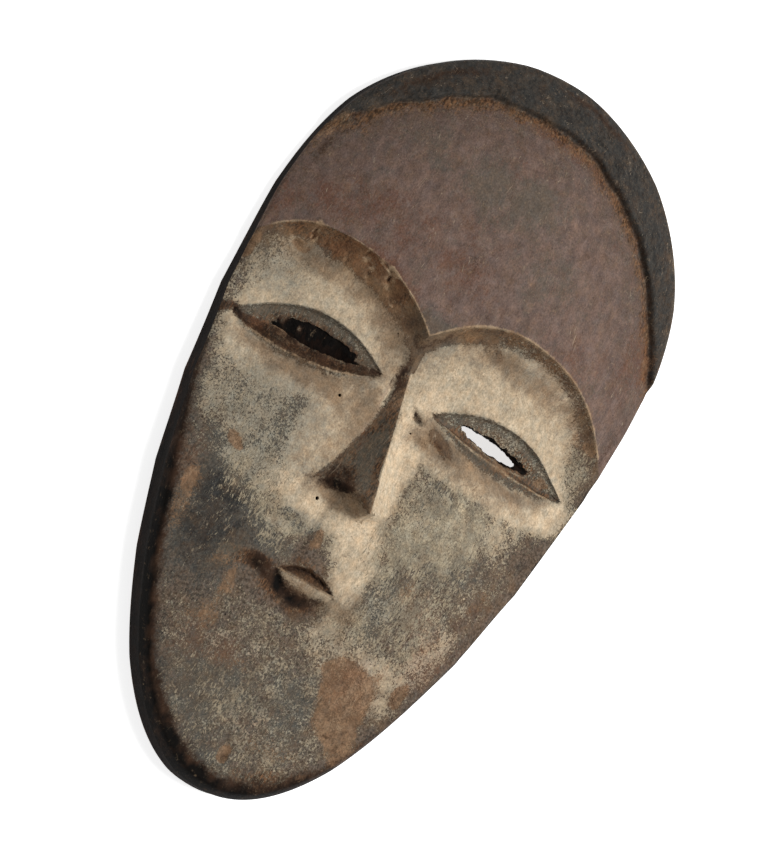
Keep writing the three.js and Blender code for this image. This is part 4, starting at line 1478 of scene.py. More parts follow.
@dataclass
class Carving:
    """The mask as one closed mesh: the face, the side wall, the flat rim and the hollow behind."""

    relief: Relief = field(default_factory=Relief)
    columns: Columns = field(default_factory=Columns)
    hollow_columns: int = 40
    wall_rings: int = 6
    rim_rings: int = 3
    least_gap: float = 0.3

    def stretches(self) -> list[Stretch]:
        """Lists the lines that the rows follow, from the crown to the chin.

        Returns:
            A stretch from each line to the next.
        """
        relief = self.relief
        eyes, mouth = relief.eyes, relief.mouth.lens
        middle = (eyes[0].almond.end[0] + eyes[1].almond.end[0]) / 2

        def lens_line(name: str, upper: bool) -> Line:
            """Joins an edge of the two eyes into one line.

            Args:
                name: which outline of an eye, its almond or its slit.
                upper: whether the line follows the upper edge.

            Returns:
                The line, as y at an x.
            """
            left, right = (getattr(eye, name) for eye in eyes)
            return lambda x: np.where(x < middle, left.edge(x, upper), right.edge(x, upper))

        return [
            Stretch(lambda x: np.full_like(x, relief.egg.length), 34, 1.5, 1.5),
            Stretch(lambda x: relief.hair.line(x) + 0.05, 84, 1.25, 1.35),
            Stretch(relief.brow.line, 42, 1.3),
            Stretch(lens_line("almond", True), 13, 1.2),
            Stretch(lens_line("slit", True), 9),
            Stretch(lens_line("slit", False), 14),
            Stretch(lens_line("almond", False), 72),
            Stretch(lambda x: mouth.edge(x, True), 8, 1.1),
            Stretch(lambda x: np.interp(x, *zip(mouth.start, mouth.end)), 8),
            Stretch(lambda x: mouth.edge(x, False), 78, 1.0, 1.5),
            Stretch(lambda x: np.full_like(x, -relief.egg.length), 1),
        ]

    def grid(self) -> tuple[Array, Array, Array, Array]:
        """Places the rows and columns of the face over the plan.

        Returns:
            The points' x and y, and for each row the egg height of its left and its right end.
        """
        egg = self.relief.egg
        marks = self.columns.indices()[1:4]
        levels, shares = [], []
        for stretch in self.stretches():
            share = self.columns.spread(np.array(self.columns.spread_above))
            for _ in range(8):
                egg_y = meets(egg, stretch.line, share)
                egg_y = np.minimum(egg_y, levels[-1] - self.least_gap) if levels else egg_y
                share = self.columns.spread(self.columns.guides(self.relief, egg_y[marks]))
            levels.append(egg_y)
        rows = []
        stretches = self.stretches()
        for k, stretch in enumerate(stretches[:-1]):
            for part in stretch.parts():
                rows.append(mix(levels[k], levels[k + 1], part))
        rows.append(levels[-1])
        for egg_y in rows:
            shares.append(self.columns.spread(self.columns.guides(self.relief, egg_y[marks])))
        egg_y, share = np.array(rows)[::-1], np.array(shares)[::-1]
        x, y = egg.place(share, egg_y)
        return x, y, egg_y[:, 0], egg_y[:, -1]

    def build(self) -> tuple[Array, Array]:
        """Makes the closed mesh, in millimetres.

        Returns:
            The points and the triangles.
        """
        relief, parts = self.relief, MeshParts()
        x, y, left, right = self.grid()
        z = relief.face(x, y)
        edge = np.zeros_like(x, bool)
        edge[[0, -1], :] = True
        edge[:, [0, -1]] = True
        length = np.hypot(x, y)
        pulled = 1.0 - relief.wall_lean / length
        z = np.where(edge, relief.wall_top(y), z)
        flat_x, flat_y = relief.egg.cut_facets(np.where(edge, x * pulled, x), np.where(edge, y * pulled, y))
        face = parts.put(flat_x, flat_y, z)
        parts.skin(face)
        ring_x, ring_y = two_sides(x), two_sides(y)
        rings = [two_sides(face)]
        for k in range(1, self.wall_rings + 1):
            part = k / self.wall_rings
            lean = 1.0 - relief.wall_lean * (1.0 - part) / np.hypot(ring_x, ring_y)
            wx, wy = relief.egg.cut_facets(ring_x * lean, ring_y * lean)
            rings.append(parts.put(wx, wy, relief.wall_top(ring_y) * (1.0 - part)))
        shrink, narrow = relief.hollow_scale()
        share = np.linspace(-1.0, 1.0, self.hollow_columns + 1)
        egg_y = mix(left[:, None], right[:, None], (share[None, :] + 1.0) / 2.0)
        hx, hy = relief.egg.place(share[None, :] * narrow, egg_y, shrink)
        inner_x, inner_y = two_sides(hx), two_sides(hy)
        outer_x, outer_y = relief.egg.cut_facets(ring_x, ring_y)
        for k in range(1, self.rim_rings):
            part = k / self.rim_rings
            rings.append(parts.put(mix(outer_x, inner_x, part), mix(outer_y, inner_y, part), 0.0))
        hz = relief.hollow(hx, hy)
        hz[[0, -1], :] = 0.0
        hz[:, [0, -1]] = 0.0
        hollow = parts.put(hx, hy, hz)
        rings.append(two_sides(hollow))
        loops = np.array(rings)
        parts.skin(np.concatenate([loops, loops[:, :1]], axis=1), flip=True)
        parts.skin(hollow, flip=True)
        return parts.merged()


@dataclass(frozen=True)
class SlitBack:
    """Where a slit comes out at the back: how far its corners draw in, how narrow it is and how it leans.

    Its corners are the blunter the less the power of its swell is, and its upper edge can be broken away
    a little higher than the solid has it.
    """

    outer: float
    inner: float
    narrow: float
    lean: float
    blunt: float
    raised: float = 0.0


LEFT_SLIT = SlitBack(2.0, 1.0, 0.28, -2.2, 0.7, 0.5)
RIGHT_SLIT = SlitBack(4.3, 0.4, 0.85, 0.1, 0.5)


@dataclass
class SlitCutter:
    """The tool that opens one eye: a ragged lens at the face that turns into its back through the wall."""

    relief: Relief
    lens: Lens
    back: SlitBack
    seed: int
    foot: float = -1.0
    over_face: float = 0.25
    top: float = 16.0
    levels: int = 12
    sides: int = 70
    ragged: float = 0.6
    tooth: float = 0.9

    def build(self) -> tuple[Array, Array]:
        """Makes the cutter's closed mesh.

        Returns:
            The points and the triangles, in millimetres.
        """
        lens, back, parts = self.lens, self.back, MeshParts()
        dx, dy = lens.end[0] - lens.start[0], lens.end[1] - lens.start[1]
        length = math.hypot(dx, dy)
        up = (-dy / length * math.copysign(1.0, dx), abs(dx) / length)
        forth = np.linspace(0.0, 1.0, self.sides, endpoint=False)
        share = np.concatenate([forth, 1.0 - forth])[None, :]
        side = np.where(np.arange(2 * self.sides) < self.sides, -lens.below, lens.above)[None, :]
        through = 1.0 - np.linspace(1.0, 0.0, self.levels) ** 2
        open_by = np.concatenate([[0.0], through, [1.0]])[:, None]
        along = mix(back.outer / length * (1.0 - open_by), 1.0 - back.inner / length * (1.0 - open_by), share)
        swell = (4.0 * share * (1.0 - share)) ** back.blunt
        teeth = Unevenness(self.seed).layered(share * length * np.sign(side), 1.5 * open_by, self.tooth)
        teeth = self.ragged * (0.4 + 0.6 * open_by) * teeth * np.clip(5.0 * swell, 0.0, 1.0)
        raised = back.raised * (side > 0) * open_by**4
        off = swell * (side * mix(back.narrow, 1.0, open_by) + raised) + back.lean * (1.0 - open_by) + teeth
        chord_x, chord_y = lens.start[0] + dx * along, lens.start[1] + dy * along
        low = self.relief.hollow(chord_x, chord_y)
        high = self.relief.face(chord_x, chord_y) + self.over_face
        z = mix(low, high, open_by)
        z[0], z[-1] = self.foot, self.top
        numbers = parts.put(chord_x + up[0] * off, chord_y + up[1] * off, z)
        if dx < 0:
            numbers = numbers[:, ::-1]
        parts.skin(np.concatenate([numbers, numbers[:, :1]], axis=1))
        for cap, flip in ((numbers[-1], False), (numbers[0], True)):
            fan = np.stack([np.full(2 * self.sides - 2, cap[0]), cap[1:-1], cap[2:]], axis=-1)
            parts.faces.append(fan[:, ::-1] if flip else fan)
        return parts.merged()


@dataclass
class Tree:
    """A node tree with short ways of adding nodes to it."""

    tree: NodeTree

    def node(self, kind: str, inputs: dict | None = None, **settings: object) -> Node:
        """Adds a node.

        Args:
            kind: Blender's name for the node.
            inputs: a value or another node's output for each input, by name or number.
            **settings: the node's own settings.

        Returns:
            The node.
        """
        made = self.tree.nodes.new(kind)
        for name, value in settings.items():
            setattr(made, name, value)
        for name, feed in (inputs or {}).items():
            if isinstance(feed, Socket):
                self.tree.links.new(feed, made.inputs[name])
            else:
                made.inputs[name].default_value = feed
        return made

    def sum(self, operation: str, *feeds: object, clamp: bool = False) -> Socket:
        """Works out a value from others."""
        inputs = dict(enumerate(feeds))
        return self.node("ShaderNodeMath", inputs, operation=operation, use_clamp=clamp).outputs[0]

    def vector(self, operation: str, *feeds: object) -> Socket:
        """Works out a vector from others."""
        return self.node("ShaderNodeVectorMath", dict(enumerate(feeds)), operation=operation).outputs[0]

    def scaled(self, place: object, sizes: tuple[float, float, float] | object) -> Socket:
        """Multiplies a vector by another."""
        return self.vector("MULTIPLY", place, sizes)

    def blend(self, share: object, first: object, second: object) -> Socket:
        """Mixes two colours."""
        inputs = {0: share, 6: first, 7: second}
        return self.node("ShaderNodeMix", inputs, data_type="RGBA").outputs[2]

    def between(self, share: object, first: object, second: object) -> Socket:
        """Mixes two values."""
        return self.node("ShaderNodeMix", {0: share, 2: first, 3: second}, data_type="FLOAT").outputs[0]

    def step(self, value: object, start: object, end: object) -> Socket:
        """Eases from 0 at a start to 1 at an end."""
        inputs = {"Value": value, "From Min": start, "From Max": end}
        return self.node("ShaderNodeMapRange", inputs, interpolation_type="SMOOTHSTEP").outputs[0]

    def noise(self, place: object, detail: float, roughness: float = 0.6, curl: float = 0.0) -> Socket:
        """Adds noise with bumps one unit apart, spread over the whole of 0 to 1."""
        inputs = {"Vector": place, "Scale": 1.0, "Detail": detail, "Roughness": roughness, "Distortion": curl}
        return self.sum("MULTIPLY_ADD", self.node("ShaderNodeTexNoise", inputs).outputs[0], 2.2, -0.6)

    def amount(self, pigment: Pigment) -> Socket:
        """Reads how much of a pigment lies on the surface."""
        return self.node("ShaderNodeAttribute", attribute_name=pigment.value).outputs["Fac"]

    def stretched(self, place: object, size: object, stretch: object, seed: object) -> Socket:
        """Scales places so that a pattern of one unit gets a size, drawn out along the grain.

        Args:
            place: the places in millimetres.
            size: the pattern's size in millimetres.
            stretch: how much longer it is along the grain.
            seed: which part of the pattern is taken.

        Returns:
            The scaled places.
        """
        across = self.sum("DIVIDE", 1.0, size)
        along = self.sum("DIVIDE", across, stretch)
        sizes = self.node("ShaderNodeCombineXYZ", {0: across, 1: along, 2: across}).outputs[0]
        return self.vector("ADD", self.scaled(place, sizes), self.scaled(seed, (17.3, 5.1, 9.7)))


class Effect(Enum):
    """The effects that more than one finish uses."""

    COVER = "ragged_cover"
    GRAIN = "wood_grain"
    SCRATCHES = "scratches"
    PITS = "pits"


EFFECT_VALUES = {
    Effect.COVER: {
        "Level": 1.0, "Size": 3.0, "Fine Size": 0.5, "Fine Share": 0.5, "Stretch": 1.0,
        "Softness": 0.1, "Seed": 0.0,
    },
    Effect.GRAIN: {"Size": 0.4, "Stretch": 14.0, "Seed": 0.0},
    Effect.SCRATCHES: {
        "Angle": 0.0, "Size": 0.8, "Stretch": 16.0, "Width": 0.02, "Amount": 0.3, "Seed": 0.0,
    },
    Effect.PITS: {"Size": 2.0, "Width": 0.16, "Amount": 0.3, "Seed": 0.0},
}


@dataclass
class Effects:
    """The shader node groups that the finishes share, each built once."""

    built: dict[Effect, NodeTree] = field(default_factory=dict)

    def draw(self, tree: Tree, effect: Effect, place: object, values: dict[str, object]) -> Socket:
        """Adds an effect to a material.

        Args:
            tree: the material's tree.
            effect: which effect it is.
            place: the places in millimetres.
            values: its numbers by name, as far as they aren't the usual ones.

        Returns:
            How strong the effect is.
        """
        if effect not in self.built:
            self.built[effect] = self.make(effect)
        inputs = {"Place": place, **values}
        return tree.node("ShaderNodeGroup", inputs, node_tree=self.built[effect]).outputs[0]

    def make(self, effect: Effect) -> NodeTree:
        """Builds an effect's node group.

        Args:
            effect: which effect it is.

        Returns:
            The group.
        """
        tree = Tree(bpy.data.node_groups.new(effect.value, "ShaderNodeTree"))
        face = tree.tree.interface
        face.new_socket("Place", in_out="INPUT", socket_type="NodeSocketVector")
        for name, value in EFFECT_VALUES[effect].items():
            face.new_socket(name, in_out="INPUT", socket_type="NodeSocketFloat").default_value = value
        face.new_socket("Strength", in_out="OUTPUT", socket_type="NodeSocketFloat")
        makers = {
            Effect.COVER: self.cover, Effect.GRAIN: self.grain,
            Effect.SCRATCHES: self.scratches, Effect.PITS: self.pits,
        }
        drawn = makers[effect](tree, tree.node("NodeGroupInput").outputs)
        tree.node("NodeGroupOutput", {0: drawn})
        return tree.tree

    @staticmethod
    def cover(tree: Tree, given: Given) -> Socket:
        """Says where a worn coat still lies, from how much of it is left.

        Args:
            tree: the group's tree.
            given: its inputs.

        Returns:
            How far the coat covers.
        """
        large = tree.stretched(given["Place"], given["Size"], given["Stretch"], given["Seed"])
        small = tree.stretched(given["Place"], given["Fine Size"], given["Stretch"], given["Seed"])
        noise = tree.between(given["Fine Share"], tree.noise(large, 4.0), tree.noise(small, 3.0, 0.65, 0.8))
        noise = tree.sum("MULTIPLY_ADD", noise, 1.25, -0.125)
        least = tree.sum("SUBTRACT", 1.0, given["Level"])
        low = tree.sum("SUBTRACT", least, given["Softness"])
        return tree.step(noise, low, tree.sum("ADD", least, given["Softness"]))

    @staticmethod
    def grain(tree: Tree, given: Given) -> Socket:
        """Draws wood fibres along the grain."""
        place = tree.stretched(given["Place"], given["Size"], given["Stretch"], given["Seed"])
        return tree.noise(place, 4.0, 0.55)

    @staticmethod
    def scratches(tree: Tree, given: Given) -> Socket:
        """Draws short thin lines at an angle to the grain.

        Args:
            tree: the group's tree.
            given: its inputs.

        Returns:
            How far a place lies on a line.
        """
        turn = {"Vector": given["Place"], "Angle": given["Angle"]}
        place = tree.node("ShaderNodeVectorRotate", turn, rotation_type="Z_AXIS").outputs[0]
        drawn = tree.stretched(place, given["Size"], given["Stretch"], given["Seed"])
        raw = tree.node("ShaderNodeTexNoise", {"Vector": drawn, "Scale": 1.0, "Detail": 1.0}).outputs[0]
        off = tree.sum("ABSOLUTE", tree.sum("SUBTRACT", raw, 0.5))
        line = tree.sum("SUBTRACT", 1.0, tree.step(off, 0.0, given["Width"]))
        broken = tree.stretched(place, 1.5, 4.5, tree.sum("ADD", given["Seed"], 4.0))
        least = tree.sum("SUBTRACT", 1.0, given["Amount"])
        gaps = tree.step(tree.noise(broken, 2.0), least, tree.sum("ADD", least, 0.12))
        return tree.sum("MULTIPLY", line, gaps)

    @staticmethod
    def pits(tree: Tree, given: Given) -> Socket:
        """Scatters small round holes.

        Args:
            tree: the group's tree.
            given: its inputs.

        Returns:
            How far a place lies in a hole.
        """
        place = tree.stretched(given["Place"], given["Size"], 1.0, given["Seed"])
        cells = tree.node("ShaderNodeTexVoronoi", {"Vector": place, "Scale": 1.0})
        chance = tree.node("ShaderNodeSeparateColor", {0: cells.outputs["Color"]})
        width = tree.sum("MULTIPLY", given["Width"], tree.sum("ADD", 0.5, chance.outputs[1]))
        inner = tree.sum("MULTIPLY", width, 0.5)
        hole = tree.sum("SUBTRACT", 1.0, tree.step(cells.outputs["Distance"], inner, width))
        return tree.sum("MULTIPLY", hole, tree.sum("LESS_THAN", chance.outputs[0], given["Amount"]))


def linear(colour: Colour) -> tuple[float, float, float, float]:
    """Turns a colour as seen on a screen into the shader's own numbers.

    Args:
        colour: red, green and blue from 0 to 255.

    Returns:
        Red, green, blue and alpha from 0 to 1.
    """
    parts = [c / 255.0 for c in colour]
    low = [p / 12.92 if p <= 0.04045 else ((p + 0.055) / 1.055) ** 2.4 for p in parts]
    return (*low, 1.0)


@dataclass(frozen=True)
class Tint:
    """Another colour that a coat turns to, as far as a pigment's amount says."""

    pigment: Pigment
    colour: Colour
    most: float = 1.0


@dataclass(frozen=True)
class Coat:
    """One coat of pigment, dirt or wear: its tones, how rough and thick it is and how its edge breaks up."""

    pigment: Pigment | None
    light: Colour
    dark: Colour
    roughness: float
    thickness: float = 0.0
    size: float = 3.0
    fine_size: float = 0.55
    fine_share: float = 0.5
    stretch: float = 1.0
    softness: float = 0.15
    tone_size: float = 3.0
    tone_stretch: float = 1.5
    tone_follows: float = 0.0
    contrast: float = 1.5
    opacity: float = 1.0
    tints: tuple[Tint, ...] = ()


@dataclass(frozen=True)
class CoatedFinish:
    """A finish of coats laid one over the other on wood, with its specks, grain, pits and scratches.

    The rises say how much these four add to the height that the bump is made of.
    """

    name: str
    coats: tuple[Coat, ...]
    scratch_colour: Colour
    scratches: float = 0.14
    pits: float = 0.05
    grain_depth: float = 0.1
    speckle: float = 0.15
    mottle: float = 0.1
    warmth: float = 0.06
    specular: float = 0.25
    bump: float = 0.00012
    pit_colour: Colour = (34, 27, 22)
    rises: tuple[float, float, float, float] = (0.4, 0.25, -1.5, -0.5)

    def make(self, effects: Effects) -> Finish:
        """Builds the material.

        Args:
            effects: the shared node groups.

        Returns:
            The material.
        """
        material = bpy.data.materials.new(self.name)
        material.use_nodes = True
        material.node_tree.nodes.clear()
        tree = Tree(material.node_tree)
        where = tree.node("ShaderNodeTexCoord").outputs["Object"]
        place = tree.scaled(where, (1.0 / MM, 1.0 / MM, 1.0 / MM))
        colour, rough, height = None, None, None
        for number, coat in enumerate(self.coats):
            tone = self.tone(tree, effects, coat, place, float(number))
            if coat.pigment is None:
                colour, rough, height = tone, coat.roughness, 0.0
                continue
            given = {
                "Level": tree.amount(coat.pigment), "Size": coat.size, "Fine Size": coat.fine_size,
                "Fine Share": coat.fine_share, "Stretch": coat.stretch, "Softness": coat.softness,
                "Seed": float(number),
            }
            cover = tree.sum("MULTIPLY", effects.draw(tree, Effect.COVER, place, given), coat.opacity)
            colour = tree.blend(cover, colour, tone)
            rough = tree.between(cover, rough, coat.roughness)
            height = tree.sum("MULTIPLY_ADD", cover, coat.thickness, height)
        grain = effects.draw(tree, Effect.GRAIN, place, {"Size": 0.35, "Seed": 3.0})
        fine = effects.draw(tree, Effect.GRAIN, place, {"Size": 0.3, "Stretch": 1.4, "Seed": 5.0})
        colour = self.mottled(tree, effects, place, colour, grain, fine)
        scratch = self.scratched(tree, effects, place)
        colour = tree.blend(scratch, colour, linear(self.scratch_colour))
        pit = effects.draw(tree, Effect.PITS, place, {"Amount": self.pits, "Width": 0.07})
        colour = tree.blend(tree.sum("MULTIPLY", pit, 0.8), colour, linear(self.pit_colour))
        for mark, rise in zip((fine, grain, pit, scratch), self.rises):
            height = tree.sum("MULTIPLY_ADD", mark, rise, height)
        bump = tree.node("ShaderNodeBump", {"Height": height, "Distance": self.bump, "Strength": 1.0})
        look = {
            "Base Color": colour, "Roughness": rough, "Normal": bump.outputs[0],
            "Specular IOR Level": self.specular,
        }
        shader = tree.node("ShaderNodeBsdfPrincipled", look)
        tree.node("ShaderNodeOutputMaterial", {"Surface": shader.outputs[0]})
        return material

    def mottled(
        self, tree: Tree, effects: Effects, place: object, colour: object, grain: object, fine: object,
    ) -> Socket:
        """Varies a colour in brightness with the grain, specks and clouds, and in warmth from place to place.

        Args:
            tree: the tree to add to.
            effects: the shared node groups.
            place: the places in millimetres.
            colour: the plain colour.
            grain: the wood's fibres, from 0 to 1.
            fine: the specks, from 0 to 1.

        Returns:
            The varied colour.
        """
        clouds = effects.draw(tree, Effect.GRAIN, place, {"Size": 2.4, "Stretch": 1.3, "Seed": 8.0})
        hue = effects.draw(tree, Effect.GRAIN, place, {"Size": 1.5, "Stretch": 1.2, "Seed": 9.0})
        shade = tree.sum("MULTIPLY_ADD", grain, self.grain_depth, 1.0 - 0.5 * self.grain_depth)
        for noise, depth in ((fine, self.speckle), (clouds, self.mottle)):
            shade = tree.sum("MULTIPLY", shade, tree.sum("MULTIPLY_ADD", noise, 2.0 * depth, 1.0 - depth))
        warm = tree.sum("MULTIPLY_ADD", hue, 2.0 * self.warmth, 1.0 - self.warmth)
        red = tree.sum("MULTIPLY", shade, warm)
        blue = tree.sum("DIVIDE", shade, warm)
        return tree.scaled(colour, tree.node("ShaderNodeCombineXYZ", {0: red, 1: shade, 2: blue}).outputs[0])

    @staticmethod
    def tone(tree: Tree, effects: Effects, coat: Coat, place: object, seed: float) -> Socket:
        """Varies a coat between its two tones and its tints.

        Args:
            tree: the tree to add to.
            effects: the shared node groups.
            coat: the coat.
            place: the places in millimetres.
            seed: which part of the noise is taken.

        Returns:
            The coat's colour.
        """
        given = {"Size": coat.tone_size, "Stretch": coat.tone_stretch, "Seed": seed + 11.0}
        share = effects.draw(tree, Effect.GRAIN, place, given)
        share = tree.sum("MULTIPLY_ADD", share, coat.contrast, 0.5 - 0.5 * coat.contrast)
        if coat.tone_follows:
            over = tree.sum("SUBTRACT", tree.amount(coat.pigment), 1.0)
            share = tree.sum("MULTIPLY_ADD", over, coat.tone_follows, share)
        colour = tree.blend(tree.sum("ADD", share, 0.0, clamp=True), linear(coat.dark), linear(coat.light))
        for number, tint in enumerate(coat.tints):
            given = {"Size": 4.0, "Stretch": 1.5, "Softness": 0.35, "Seed": seed + 20.0 + number}
            given["Level"] = tree.amount(tint.pigment)
            cover = effects.draw(tree, Effect.COVER, place, given)
            colour = tree.blend(tree.sum("MULTIPLY", cover, tint.most), colour, linear(tint.colour))
        return colour

    def scratched(self, tree: Tree, effects: Effects, place: object) -> Socket:
        """Draws two sets of scratches that cross at a narrow angle and spare the places darkened with dirt
        and painted shade.

        Args:
            tree: the tree to add to.
            effects: the shared node groups.
            place: the places in millimetres.

        Returns:
            How far a place is scratched.
        """
        darkened = tree.step(tree.amount(Pigment.DIRT_AND_SHADE), 0.4, 1.0)
        clean = tree.sum("SUBTRACT", 0.6, tree.sum("MULTIPLY", darkened, 0.6))
        lines = []
        for angle, seed in ((0.16, 1.0), (-0.22, 2.0)):
            given = {"Angle": angle, "Amount": self.scratches, "Seed": seed}
            lines.append(effects.draw(tree, Effect.SCRATCHES, place, given))
        return tree.sum("MULTIPLY", tree.sum("MAXIMUM", *lines), clean)


PAINTED_FACE = CoatedFinish(
    "painted_face",
    (
        Coat(
            None, (112, 98, 86), (56, 49, 42), 0.8, tone_size=0.45, tone_stretch=1.2,
            tints=(Tint(Pigment.BLUE, (78, 79, 74), 0.7), Tint(Pigment.RUST, (104, 74, 56), 0.6)),
        ),
        Coat(
            Pigment.RED, (117, 97, 88), (91, 75, 68), 0.72, 0.2, softness=0.3, tone_size=1.8,
            tone_follows=1.4, contrast=1.2,
            tints=(Tint(Pigment.RUST, (96, 66, 53), 0.8), Tint(Pigment.BLUE, (82, 78, 69), 0.65)),
        ),
        # Soot, and painted shade above the slits.
        Coat(
            Pigment.SOOT_AND_SHADE, (56, 52, 47), (23, 21, 19), 0.66, 0.2, size=2.6, fine_size=0.4, fine_share=0.6,
            stretch=1.2, softness=0.35, tone_size=0.7, tone_stretch=3.0, contrast=1.9,
            tints=(Tint(Pigment.BLUE, (54, 55, 54), 0.45),),
        ),
        Coat(
            Pigment.BROWN, (116, 83, 57), (45, 31, 21), 0.62, 0.0, fine_size=0.45, stretch=1.4,
            softness=0.35, tone_size=0.4, tone_stretch=3.0, contrast=3.2,
            tints=(Tint(Pigment.RUST, (116, 74, 48), 0.55), Tint(Pigment.BLUE, (92, 88, 78), 0.75)),
        ),
        Coat(
            Pigment.KAOLIN, (208, 187, 158), (150, 137, 116), 0.92, 0.8, size=2.8, fine_size=0.36,
            fine_share=0.68, stretch=1.15, softness=0.12, tone_size=1.0, tone_follows=1.0, contrast=0.7,
            tints=(Tint(Pigment.BLUE, (136, 132, 119), 0.6), Tint(Pigment.RUST, (168, 142, 120), 0.6)),
        ),
        Coat(
            Pigment.CHALK, (176, 163, 138), (134, 124, 106), 0.92, 0.5, size=2.2, fine_size=0.34,
            fine_share=0.75, stretch=3.2, softness=0.1, opacity=0.8,
        ),
        Coat(
            Pigment.BARE, (152, 122, 94), (104, 80, 60), 0.72, -0.3, size=1.4, fine_size=0.36,
            fine_share=0.7, softness=0.3, tone_size=1.3, contrast=1.3, opacity=0.85,
            tints=(Tint(Pigment.RUST, (122, 86, 62), 0.5),),
        ),
        # Stain, and painted shade below the brow.
        Coat(
            Pigment.STAIN_AND_SHADE, (122, 97, 72), (84, 63, 46), 0.8, 0.0, size=3.0, fine_size=0.5, fine_share=0.35,
            softness=0.75, opacity=0.75,
        ),
        # Dirt, and painted shade in the creases, the slits, round the mouth, over the left eye and on the
        # jaw's rim.
        Coat(
            Pigment.DIRT_AND_SHADE, (56, 39, 28), (11, 8, 6), 0.75, 0.2, size=1.2, fine_size=0.36, softness=0.5,
            tone_follows=-0.9,
        ),
        Coat(
            Pigment.WEAR, (170, 146, 117), (128, 104, 80), 0.8, 0.0, size=1.2, fine_size=0.4, stretch=1.5,
            softness=0.35, opacity=0.8,
        ),
    ),
    scratch_colour=(160, 142, 120),
    scratches=0.22,
    speckle=0.27,
    mottle=0.08,
    specular=0.08,
)
# The side wall and the insides of the slits: a dark stain, made darker still as painted shade.
STAINED_AND_SHADED_WALL = CoatedFinish(
    "stained_and_shaded_wall",
    (
        Coat(None, (28, 18, 13), (9, 6, 5), 0.7, tone_size=1.0, tone_stretch=4.0),
        Coat(Pigment.SOOT_AND_SHADE, (20, 16, 13), (8, 7, 6), 0.7, 0.2, softness=0.4),
        Coat(
            Pigment.WEAR, (64, 43, 30), (38, 26, 19), 0.7, 0.0, size=1.5, fine_size=0.4, stretch=2.0,
            softness=0.3,
        ),
    ),
    scratch_colour=(70, 52, 40),
    specular=0.04,
)
BARE_HOLLOW = CoatedFinish(
    "bare_hollow",
    (
        Coat(None, (112, 86, 62), (72, 54, 40), 0.68, tone_size=1.1, tone_stretch=9.0),
        Coat(Pigment.DIRT_AND_SHADE, (62, 48, 36), (40, 31, 25), 0.7, 0.2, size=5.0, stretch=1.5, softness=0.4),
        Coat(Pigment.WEAR, (146, 118, 88), (112, 88, 64), 0.6, 0.0, size=1.2, stretch=2.0, softness=0.25),
    ),
    scratch_colour=(140, 114, 86),
    grain_depth=0.2,
    speckle=0.12,
)


def geometry_tree(name: str, numbers: dict[str, str]) -> tuple[Tree, Given]:
    """Makes a Geometry Nodes tree that takes a mesh, some numbers and a finish.

    Args:
        name: its name.
        numbers: Float or Int for each of its numbers, by name.

    Returns:
        The tree and its inputs.
    """
    tree = Tree(bpy.data.node_groups.new(name, "GeometryNodeTree"))
    face = tree.tree.interface
    for label, kind in {"Geometry": "Geometry", **numbers, "Finish": "Material"}.items():
        face.new_socket(label, in_out="INPUT", socket_type=f"NodeSocket{kind}")
    face.new_socket("Geometry", in_out="OUTPUT", socket_type="NodeSocketGeometry")
    return tree, tree.node("NodeGroupInput").outputs


def ended(tree: Tree, geometry: Socket, finish: Socket) -> NodeTree:
    """Ends a Geometry Nodes tree with real faces in their finish.

    Args:
        tree: the tree.
        geometry: the finished shape.
        finish: its material.

    Returns:
        The node tree.
    """
    real = tree.node("GeometryNodeRealizeInstances", {"Geometry": geometry})
    dressed = tree.node("GeometryNodeSetMaterial", {"Geometry": real.outputs[0], "Material": finish})
    tree.node("NodeGroupOutput", {"Geometry": dressed.outputs[0]})
    return tree.tree


@dataclass
class Gouge:
    """Scallops that a gouge left over a surface, drawn out along the grain, as a Geometry Nodes tree."""

    length: float = 13.0
    width: float = 5.0
    depth: float = 0.4
    seed: int = 7
    mask: str = "hollowed"

    def values(self) -> dict[str, float]:
        """Gives the tree's numbers by name."""
        return {"Length": self.length, "Width": self.width, "Depth": self.depth, "Seed": self.seed}

    def tree(self) -> NodeTree:
        """Builds the tree, which lowers the ridges between the scallops towards the back.

        Returns:
            The node tree.
        """
        numbers = {"Length": "Float", "Width": "Float", "Depth": "Float", "Seed": "Int"}
        tree, given = geometry_tree("gouge_marks", numbers)
        place = tree.node("GeometryNodeInputPosition").outputs[0]
        across = tree.sum("DIVIDE", 1.0, given["Width"])
        along = tree.sum("DIVIDE", 1.0, given["Length"])
        sizes = tree.node("ShaderNodeCombineXYZ", {0: across, 1: along, 2: 0.0}).outputs[0]
        shift = tree.node("ShaderNodeCombineXYZ", {2: given["Seed"]}).outputs[0]
        spread = tree.vector("ADD", tree.scaled(place, sizes), shift)
        cells = tree.node("ShaderNodeTexVoronoi", {"Vector": spread, "Scale": 1.0, "Randomness": 0.8})
        dish = tree.sum("POWER", cells.outputs["Distance"], 2.0)
        where = tree.node("GeometryNodeInputNamedAttribute", {"Name": self.mask}, data_type="FLOAT")
        where = where.outputs[0]
        drop = tree.sum("MULTIPLY", tree.sum("MULTIPLY", dish, given["Depth"]), where)
        offset = tree.node("ShaderNodeCombineXYZ", {2: tree.sum("MULTIPLY", drop, -1.0)}).outputs[0]
        moved = tree.node("GeometryNodeSetPosition", {"Geometry": given["Geometry"], "Offset": offset})
        return ended(tree, moved.outputs[0], given["Finish"])


